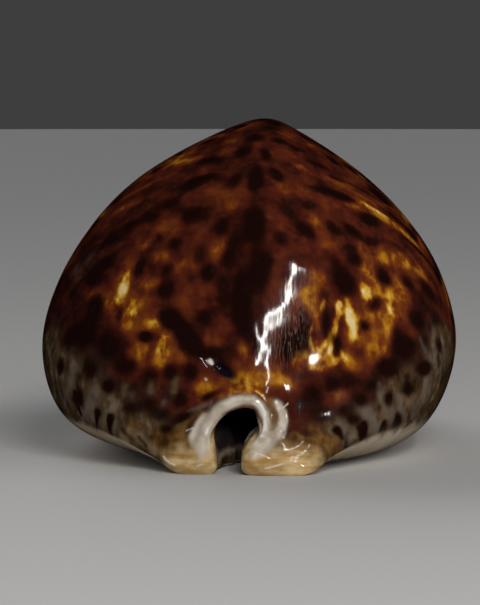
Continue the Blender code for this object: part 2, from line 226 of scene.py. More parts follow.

# The rest of the enamel's colours. A pair is the dark and the pale side of a mottled colour.
# The flanks' colours are darkened in part as painted shade, where the light falls off at the sides
UPPER_FLANK_SHADED = ((0.014, 0.007, 0.0055), (0.044, 0.024, 0.014))
LOWER_FLANK_SHADED = ((0.015, 0.008, 0.006), (0.066, 0.037, 0.016))
TAN = ((0.060, 0.024, 0.007), (0.240, 0.120, 0.032))
MARGIN = ((0.090, 0.055, 0.028), (0.230, 0.165, 0.090))
OLIVE = (0.100, 0.074, 0.026)
PALE = (0.135, 0.104, 0.080)
BASE_SHADE = (0.52, 0.40, 0.27)
FLANGE_SHADE = (0.36, 0.200, 0.055)
RIM_SHADE = (0.44, 0.37, 0.29)
FRONT_RIM = (0.55, 0.47, 0.38)
# Dark violet of the pit: partly the dark blotch over the spire, partly a painted dark reflection in the pit
PIT = (0.0065, 0.0040, 0.0095)
# White of the painted highlights: glints on the rim, the flanges and by the pit, painted into the colour
PAINTED_HIGHLIGHTS = (0.80, 0.77, 0.70)
# Painted shade inside the hollow
HOLLOW_SHADE = (0.035, 0.026, 0.024)
# Pale hair lines of the scratched gloss: partly wear, partly painted sheen
WORN_SHEEN = (0.36, 0.25, 0.20)

# Depth of the hair scratches in the gloss, in metres
SCRATCH_DEPTH = 0.000002

# Marks in the enamel of the spire's end, in millimetres: across, along, up, half width, half height, turn
# in degrees and strength. Worn marks are where the gloss is scratched, and their pale hair lines are partly
# painted sheen of the scratches catching the light.
DARK_SPOTS = [
    (17.2, -21.2, 34.3, 1.9, 1.3, 0, 1), (14.8, -25.6, 32.7, 1.1, 1.5, 30, 0.8),
    (11.8, -27, 33.4, 0.8, 1.5, 0, 0.7), (7.5, -29, 33.5, 1.2, 1.3, 0, 0.85),
    (4.3, -31.2, 32, 1, 1.3, 0, 0.7), (0.6, -30.6, 33.9, 1.6, 3.5, 0, 1), (0.8, -24.2, 40.3, 1, 2.8, 0, 1),
    (3.8, -23, 40.9, 0.9, 1.6, 0, 0.9), (4.3, -14.6, 45.5, 1.2, 0.9, 0, 0.8),
    (2.2, -19.3, 43.6, 0.8, 1.7, 0, 0.8), (-1, -17.9, 44, 1.2, 1.7, 0, 0.8),
    (10.5, -21.5, 38.6, 1.9, 1, -10, 0.9), (13.6, -20.2, 37.5, 2.1, 1, -25, 1),
    (8.4, -25.6, 36.6, 1.3, 1, 0, 0.6), (4.8, -27.2, 36.8, 1.2, 1.4, 0, 0.45),
    (14.9, -29, 29.1, 1.3, 1.3, 0, 0.85), (13.2, -31.9, 26.2, 1.7, 2.6, 8, 0.95),
    (19.1, -28.4, 26.3, 1.4, 1.4, 0, 0.9), (22.6, -25.9, 25.3, 1.1, 1.6, 25, 0.7),
    (17.5, -24.9, 31.3, 1.8, 0.9, 0, 0.6), (17.6, -31.6, 22.9, 1.6, 0.8, 25, 0.75),
    (16.1, -33.7, 20, 0.9, 0.9, 0, 0.85), (12.2, -35.9, 17.6, 0.8, 1.6, 0, 0.85),
    (10.6, -35.3, 20.6, 0.7, 2.6, 0, 0.8), (21.7, -31.8, 16.8, 2.1, 1.9, 0, 1),
    (19.3, -34.1, 14.1, 1.9, 1.4, 0, 1), (24.7, -29.8, 13.6, 2.3, 1.3, 0, 0.9),
    (27.1, -25.5, 16.5, 1.2, 1.4, 0, 0.8), (22.3, -32.6, 11, 1.6, 1.3, 0, 0.85),
    (19.5, -34.8, 9.9, 1, 1.3, -10, 0.85), (18.7, -34.5, 5.8, 0.9, 1.2, -25, 0.7),
    (20.7, -32.4, 6.1, 1.4, 1.5, 0, 0.8), (15.9, -37, 5.7, 0.7, 1.3, -30, 0.8),
    (14.8, -37.1, 3.8, 1.4, 0.8, -20, 0.6), (13.9, -36.6, 12.6, 1.3, 1.3, 0, 0.6),
    (12, -38.9, 5.9, 0.9, 0.7, 0, 0.7), (-1.3, -35.8, 23.8, 1.1, 4.1, 0, 1),
    (1, -34.5, 27.2, 1.3, 2.7, 0, 0.8), (-2, -31.7, 31.9, 1.3, 1.9, 0, 0.7),
    (-2.2, -23.7, 40.1, 1.2, 2, 0, 0.7), (-5.8, -16.7, 42.8, 2.2, 1.2, 15, 0.8),
    (-6.5, -21, 40.3, 2.1, 1.1, 20, 0.8), (-8.7, -21.3, 39.1, 1.8, 1.6, 0, 0.8),
    (-11.5, -23.2, 36.6, 1.6, 1.4, 0, 0.8), (-14.4, -23.5, 34.9, 1.7, 1.4, 0, 0.8),
    (-8.5, -26.7, 35.2, 1.4, 1.8, 0, 0.85), (-12.8, -27.9, 32.1, 0.8, 1, 0, 0.7),
    (-10.6, -29.7, 31.3, 1.2, 1.3, 0, 0.8), (-6.4, -27.6, 35.3, 1.1, 1.6, 0, 0.6),
    (-4, -29.8, 33.8, 1, 1.5, 0, 0.85), (-3.1, -33, 29.5, 0.9, 1.9, 0, 0.7),
    (-5.9, -33.6, 27.5, 1.1, 1.5, 0, 0.85), (-7, -31.9, 29.8, 1.2, 1.4, 0, 0.6),
    (-15.6, -30.2, 27.9, 0.8, 1.7, 0, 0.95), (-11.6, -32, 27.7, 1, 1.3, 0, 0.7),
    (-11.9, -33.5, 25, 1.2, 1.4, 0, 0.85), (-10.9, -35.5, 21.2, 1.3, 1.5, -30, 0.9),
    (-18.3, -32.8, 21.6, 0.6, 1.2, 0, 0.7), (-14.6, -35.5, 18.6, 1.2, 0.9, 0, 0.95),
    (-22, -30, 22.2, 1.7, 2.1, 0, 0.9), (-22.6, -26, 26.2, 1.7, 1.2, 0, 0.8),
    (-20.7, -25.7, 28.4, 1.7, 1.1, 0, 0.8), (-19.9, -22.8, 31.4, 2.2, 1.1, 30, 0.8),
    (-17.3, -22.7, 33.6, 1.7, 1, 30, 0.8), (-19.7, -34, 17.3, 2.2, 2, 0, 0.85),
    (-23.3, -31, 18.4, 1.7, 2, 0, 0.9), (-17.5, -35.8, 14.5, 1.8, 1.4, 0, 0.85),
    (-19.9, -35.4, 11.6, 1.2, 1, 0, 0.9), (-22.5, -33.4, 13.7, 1.5, 1.7, 0, 0.8),
    (-26.9, -28.9, 13.8, 1.3, 1.4, 0, 0.85), (-25.6, -28.8, 18.2, 1.4, 1.7, 0, 0.85),
    (-24, -32.8, 9.7, 1, 1.7, 12, 0.85), (-21.4, -34.9, 7.8, 0.8, 0.9, 0, 0.8),
    (-19.5, -36.1, 7, 0.7, 1, -30, 0.85), (-16.7, -37.3, 8.8, 1.8, 1.1, 0, 0.7),
    (-13.9, -38, 9.4, 1.4, 1.3, 0, 0.7), (-11.1, -37.7, 13.9, 1.1, 1.3, 0, 0.75),
    (-13.9, -37.2, 13.4, 1.3, 1.3, 0, 0.7), (-8.4, -37.2, 17.6, 1.3, 1.4, 0, 0.8),
    (-8.3, -38.2, 13.9, 1.1, 1.1, 0, 0.8), (-9.7, -39, 10.1, 1.1, 1, 20, 0.7),
    (-9.1, -36.3, 19.9, 1.3, 1.3, 0, 0.7), (-6.3, -36.2, 21.3, 1, 1.3, 0, 0.7),
    (-4.9, -37.8, 16.7, 1.3, 1, 0, 0.7), (-12.5, -38.7, 8, 1.7, 1, 20, 0.6),
    (-9.3, -39.7, 7.7, 2.1, 0.7, 30, 0.8), (-11.8, -39.3, 5.9, 1, 0.7, 0, 0.6),
    (-3.5, -35.6, 23.8, 1.1, 1.5, 0, 0.7), (-3.9, -34.7, 25.9, 1, 1.2, 0, 0.6),
    (1.7, -37.7, 17.6, 1.1, 1.3, 0, 0.5), (7, -37, 17.6, 1.7, 2, 0, 0.75), (7.4, -36, 20.7, 0.9, 2.3, 0, 0.6),
    (4.9, -37.6, 16.9, 1.1, 2, 0, 0.7), (8.6, -38.4, 10.7, 1.4, 1.3, 0, 0.7),
    (11.6, -37.4, 12, 1.2, 1.1, 0, 0.6), (9.7, -38.7, 8, 1.6, 1.3, 0, 0.6),
    (13.2, -37.8, 8.3, 1.3, 1.1, 0, 0.75), (15.6, -36.7, 9.8, 1.2, 1.3, 0, 0.75),
    (17.1, -35.7, 11.8, 1.2, 1.1, 0, 0.8), (6.9, -39, 9.4, 1.1, 1.1, 0, 0.5),
    (14.6, -37.6, 7.1, 1.4, 0.8, 0, 0.7), (11.3, -30.3, 29.7, 1.4, 1.4, 0, 0.5),
    (9.9, -15.9, 42, 1.7, 0.8, -35, 0.8), (7.3, -14.3, 44.2, 1.4, 0.8, -20, 0.6),
    (12.4, -16.8, 40.1, 1.5, 0.6, -35, 0.7), (16.4, -14.6, 38.3, 2.8, 0.5, -45, 0.8),
    (20, -10.2, 36.7, 4.9, 0.6, -45, 0.6), (22, -13.7, 33.6, 4.5, 0.6, -50, 0.7),
    (24.5, -16.4, 29.6, 3.8, 0.6, -55, 0.8), (25.7, -22.4, 24.2, 1.6, 1.7, 10, 0.8),
    (26.9, -23.8, 20, 1.7, 1.4, 0, 0.6), (23.9, -28.2, 20.3, 1.7, 1.7, 0, 0.85),
    (24.9, -28.4, 17.5, 0.9, 0.9, 0, 0.6), (20.9, -31.4, 19.2, 1.2, 1.3, 0, 0.4),
    (27.8, -23.4, 11.5, 1.8, 1.2, 0, 0.7), (0.7, -14.4, 45.9, 1.4, 1.3, 0, 0.8),
    (-3.7, -6.8, 46.6, 3.4, 0.6, 10, 0.6), (3, -10.4, 47.3, 1.6, 1.1, 0, 0.6),
    (5.7, -28.1, 35.4, 0.9, 1, 0, 0.6), (8.8, -29.4, 32.4, 0.9, 0.8, 0, 0.5),
    (-5.7, -40, 10.8, 1.4, 0.6, 30, 0.7), (-10.2, -40.6, 4.7, 0.7, 0.5, 0, 0.5),
    (-11.9, -39.8, 4, 1, 1, 0, 0.55), (-13.7, -38.8, 4.9, 0.7, 0.5, 0, 0.6),
    (2.5, -33.3, 29.2, 1, 1.2, 0, 0.7), (12.8, -26.9, 32.8, 0.7, 1, 0, 0.5),
    (14.2, -28, 30.7, 1.2, 0.8, 0, 0.5), (20.9, -21.8, 30.7, 2.5, 0.8, -40, 0.45),
    (10.5, -33.6, 24.6, 1, 1.2, 0, 0.5), (-1, -35.8, 23.8, 1.3, 4.9, 4, 0.7),
    (0, -37.4, 19, 1.1, 2.9, 8, 0.5), (1.7, -34.2, 27.6, 1.3, 2.7, 10, 0.5),
]
GOLD_AND_HALO_MARKS = [
    (-2.9, -13, 45.4, 1.1, 0.7, 0, 0.5), (-10.3, -12.3, 42.3, 2.6, 0.5, 30, 0.5),
    (-4.3, -31.7, 31.1, 1, 1.3, 0, 0.65), (-2.6, -27.7, 36.6, 0.7, 1.2, 0, 0.6),
    (-14.8, -27.7, 31.2, 1, 0.7, -20, 0.85), (-12.7, -30.2, 29.7, 1.2, 0.8, -25, 0.8),
    (-9.2, -32.3, 28.3, 1.2, 1.1, 0, 0.7), (-14.1, -32.3, 25.8, 1.1, 0.9, 30, 0.6),
    (-21.7, -28.7, 24.2, 1.4, 0.9, 0, 0.5), (-17.9, -30.8, 25.2, 1.5, 3.7, 0, 1),
    (-20.4, -30.6, 23.2, 2.3, 0.9, -40, 0.85), (-16.6, -33.4, 22, 1.4, 2.1, 0, 1),
    (-17.1, -33.8, 20.5, 0.9, 1, 0, 0.7), (-13.6, -35.1, 20.4, 1.3, 0.9, 10, 0.9),
    (-12.2, -36.6, 17.2, 1.3, 2.4, -5, 1), (-15.2, -36, 16.5, 1.2, 1.3, 0, 0.8),
    (-9.6, -37.5, 15.7, 0.7, 0.9, 0, 0.6), (-6.5, -39.3, 11.7, 1.3, 1, 0, 0.75),
    (-16, -37.8, 6.2, 0.7, 0.6, 0, 0.7), (-17.7, -17.2, 36.1, 3.2, 0.8, 35, 0.5),
    (7.3, -19.2, 41.8, 1, 0.7, -50, 0.75), (5, -25, 38.7, 0.8, 1.2, 0, 0.55),
    (9, -27.5, 34.4, 1, 0.9, 0, 0.6), (15.6, -19.5, 36.5, 2.1, 0.8, -10, 0.85),
    (17.2, -16.4, 36.9, 2.7, 0.5, -45, 0.7), (18.9, -17.6, 34.9, 5, 0.7, -45, 1),
    (22.7, -16.3, 31.8, 5.4, 0.7, -50, 0.8), (16.2, -27.1, 30.3, 0.7, 2.1, -12, 0.75),
    (16.9, -29.4, 27, 1.2, 2.3, 0, 0.95), (19, -26.1, 29, 2.3, 1.2, -10, 0.85),
    (22.4, -23.3, 28, 3.3, 1.5, -35, 0.8), (24.4, -21.6, 26.7, 1.5, 1.5, 30, 0.7),
    (16.4, -31.3, 24.6, 1.3, 1.7, 0, 1), (19.3, -29.9, 24, 2.1, 1.3, 0, 0.9),
    (21.2, -27.7, 25, 1.4, 2.1, 10, 0.85), (19.9, -30.7, 21.9, 1.7, 1.8, 0, 1),
    (17.8, -32.4, 21.3, 2.2, 0.9, 0, 0.8), (19.6, -32.2, 19.5, 0.7, 2.3, 0, 0.85),
    (17.8, -34, 17, 1.5, 1.7, -20, 0.85), (8.3, -34.6, 23.7, 1.2, 1.8, 0, 0.85),
    (9.8, -32.9, 26.5, 1.5, 1.5, 0, 0.75), (9.2, -35.4, 21.1, 0.5, 1.3, 0, 0.7),
    (14.2, -34, 21, 1.2, 2.9, 3, 0.9), (13.3, -36.1, 15.7, 0.7, 2.6, 25, 0.6),
    (-0.7, -37.9, 17.1, 1, 1.7, 0, 0.75), (-0.6, -39.3, 12.9, 2.6, 1.2, 8, 0.95),
    (3.3, -38.8, 13.6, 1, 1, 0, 0.75), (5.6, -38.7, 12.4, 1.1, 0.7, -10, 0.8),
    (4.2, -38.9, 12.6, 1, 0.7, 0, 0.7), (6.6, -37.9, 14.7, 1.1, 0.7, 0, 0.6),
    (11.1, -39.6, 4.8, 1.5, 0.7, 10, 0.6), (12.4, -37.6, 10.2, 0.9, 1.1, 0, 0.35),
    (-5.9, -37.2, 18.6, 0.6, 0.9, 0, 0.4), (17.1, -34.5, 16.4, 1.1, 1.3, 0, 0.6),
    # The last mark, over the round light's highlight, is a painted halo of it
    (14.6, -34.8, 18.5, 0.9, 0.9, 0, 0.7), (9.8, -36.7, 16.6, 2, 1.4, 0, 0.4),
]
CREAM_AND_HALO_MARKS = [
    (-18, -31, 25, 0.6, 2.4, 0, 0.9), (-16.6, -33.3, 22.2, 0.7, 1.2, 0, 0.7),
    (-12.3, -36.4, 17.8, 0.6, 1.4, -5, 0.8), (-13.6, -35, 20.6, 0.7, 0.4, 10, 0.5),
    (16.4, -31.3, 24.6, 0.8, 1.2, 0, 1), (18.8, -17.3, 35.2, 3.6, 0.3, -45, 0.8),
    (19.9, -30.6, 22.1, 0.9, 1, 0, 0.8), (14.2, -34, 21, 0.8, 2.6, 3, 1),
    (16.9, -29.3, 27.1, 0.4, 1.4, 0, 0.5), (13, -36, 16.1, 0.4, 1.8, 25, 0.6),
    (-15.2, -36, 16.5, 0.4, 0.6, 0, 0.3), (19.4, -29.9, 23.9, 0.5, 0.9, 0, 0.5),
    # The last two marks, round the round light's highlight, are a painted halo of it
    (-0.6, -39.7, 12.4, 1.7, 0.7, 5, 0.35), (8.9, -37.3, 15.4, 2.4, 1.3, 0, 0.45),
    (7, -37.4, 16.3, 1.3, 0.7, -10, 0.5),
]
WARM_MARKS = [
    (-9.6, -13.1, 42.4, 3.4, 0.8, 25, 0.8), (-11.8, -27, 33.5, 2.3, 1.7, 0, 1),
    (-4.2, -25.1, 38.4, 2.2, 2, 0, 1), (-9.8, -23.5, 37.2, 0.9, 0.9, 0, 1), (-9.2, -35.1, 23, 1.4, 1.9, 0, 1),
    (-4.3, -37.2, 19, 1, 1.3, 0, 1), (-1.1, -34.4, 27.3, 0.7, 1.8, 0, 0.8), (10.9, -29.6, 31, 2, 1.6, 0, 1),
    (12.8, -17.6, 39.5, 2.6, 1, -35, 1), (5.8, -10, 46.5, 2.7, 1, 0, 1), (4.1, -17.5, 44.2, 1.9, 1.4, 0, 0.8),
    (7.2, -23.9, 38.7, 1.9, 2.4, 0, 0.5), (17.9, -33.3, 19.1, 1.7, 2.2, 0, 1),
    (11.5, -23.6, 36.5, 1.6, 1.5, 0, 0.5), (-17.1, -34.5, 19, 3, 1.2, -38, 0.8),
    (-5.6, -32.8, 28.9, 1.3, 1.9, 0, 0.6), (-15.8, -14.1, 38.6, 3.9, 0.5, 50, 1),
    (-13.4, -32.5, 25.9, 1.3, 1.4, 0, 0.7), (-7.1, -29.5, 32.9, 1.2, 1.7, 0, 0.6),
    (20.2, -21.7, 31.4, 3.9, 1.1, -40, 0.8), (-2.9, -16.1, 44.2, 1.9, 1.3, 0, 0.6),
    (14.7, -22.9, 35, 1.8, 1.3, 0, 0.6), (10.1, -35.8, 19.6, 0.9, 1.7, 0, 0.6),
    (6.6, -35, 23.7, 0.9, 2.3, 0, 0.6), (14.7, -35.8, 15.1, 1.8, 1, 0, 0.8),
    (-14, -33.6, 23.6, 1.2, 1.2, 0, 0.6), (2.2, -38.8, 14, 3.1, 2, 0, 0.9),
    (-6.3, -35.2, 23.7, 1.1, 1.5, 0, 0.5), (25.5, -17.1, 27.9, 1.7, 2.4, 20, 0.5),
]
PALE_MARKS = [
    (-25.2, -20.8, 26.6, 2.7, 1.3, -20, 0.6), (-22.9, -22, 28.8, 1.8, 1.2, -35, 0.5),
    (-25.3, -31.3, 12.4, 1.3, 2.4, 8, 0.9), (-26.8, -28.8, 9.8, 1.6, 1.7, 15, 0.7),
    (-21.9, -34.5, 10, 1.4, 2.2, -8, 1), (-23, -33.2, 7.2, 1.1, 1.6, -20, 0.9),
    (-20.8, -35, 6.1, 0.8, 1.8, 0, 0.9), (-19.1, -36.2, 5.8, 0.8, 1.4, 0, 0.8),
    (-18.2, -36.8, 6.9, 0.6, 1.1, 0, 0.7), (-17.6, -36.5, 11.1, 0.9, 1.1, 0, 0.45),
    (-13.6, -37.7, 11.3, 1, 1.3, 0, 0.45), (-10.4, -38.4, 11.8, 1, 1.4, 0, 0.55),
    (-14.9, -38.3, 5, 1.4, 1, -10, 1), (-17.5, -36.8, 4.2, 1.8, 0.8, -15, 0.9),
    (-27.9, -26, 16.6, 1.3, 2, 0, 0.5), (-28.4, -25.9, 12.7, 1.7, 2, 0, 0.6),
    (-25.5, -30.2, 15.5, 1.1, 1.3, 0, 0.4), (27.2, -25.8, 14.1, 2.6, 2.3, 0, 0.7),
    (26.7, -25.2, 18.6, 2.1, 1.1, 0, 0.5), (25.6, -28.2, 15.8, 1.2, 2, 0, 0.6),
    (25, -28.8, 10, 1.6, 2.2, 5, 1), (21.1, -33.2, 8.3, 1, 2.2, -8, 1), (19.4, -34.4, 6.9, 1.4, 1.8, 0, 1),
    (17, -36.3, 6.4, 1.6, 2, -12, 1), (17.9, -35.6, 10.3, 0.6, 2.2, 22, 0.7),
    (13.6, -38.3, 5.5, 1.2, 1.4, 20, 0.8), (22.9, -31.4, 9, 1.4, 1.3, 0, 0.5),
    (24, -27.9, 6.7, 1.6, 1.8, 15, 0.7), (12.5, -39.1, 4.5, 1.3, 0.7, 0, 0.7),
    (19, -31.3, 3.5, 1.2, 1.5, -20, 0.8), (12.5, -37.5, 10.2, 1, 1.3, 0, 0.4),
    (17.6, -33.7, 3.8, 0.9, 1.3, 25, 0.6), (-16.3, -37.1, 10.2, 0.7, 1.1, 0, 0.35),
    (-21.1, -34.5, 13.1, 1, 1.1, 0, 0.35), (-11.8, -38.6, 9.3, 0.7, 1, 0, 0.4),
    (-19.6, -36, 9.5, 0.8, 1.3, 0, 0.5), (28.6, -22.1, 15.5, 1.5, 2, 0, 0.5),
    (22.4, -27.5, 4.5, 1.3, 1.4, 15, 0.8),
]
WORN_SHEEN_MARKS = [(5, -36.7, 19.6, 2.1, 4.9, -22, 1)]

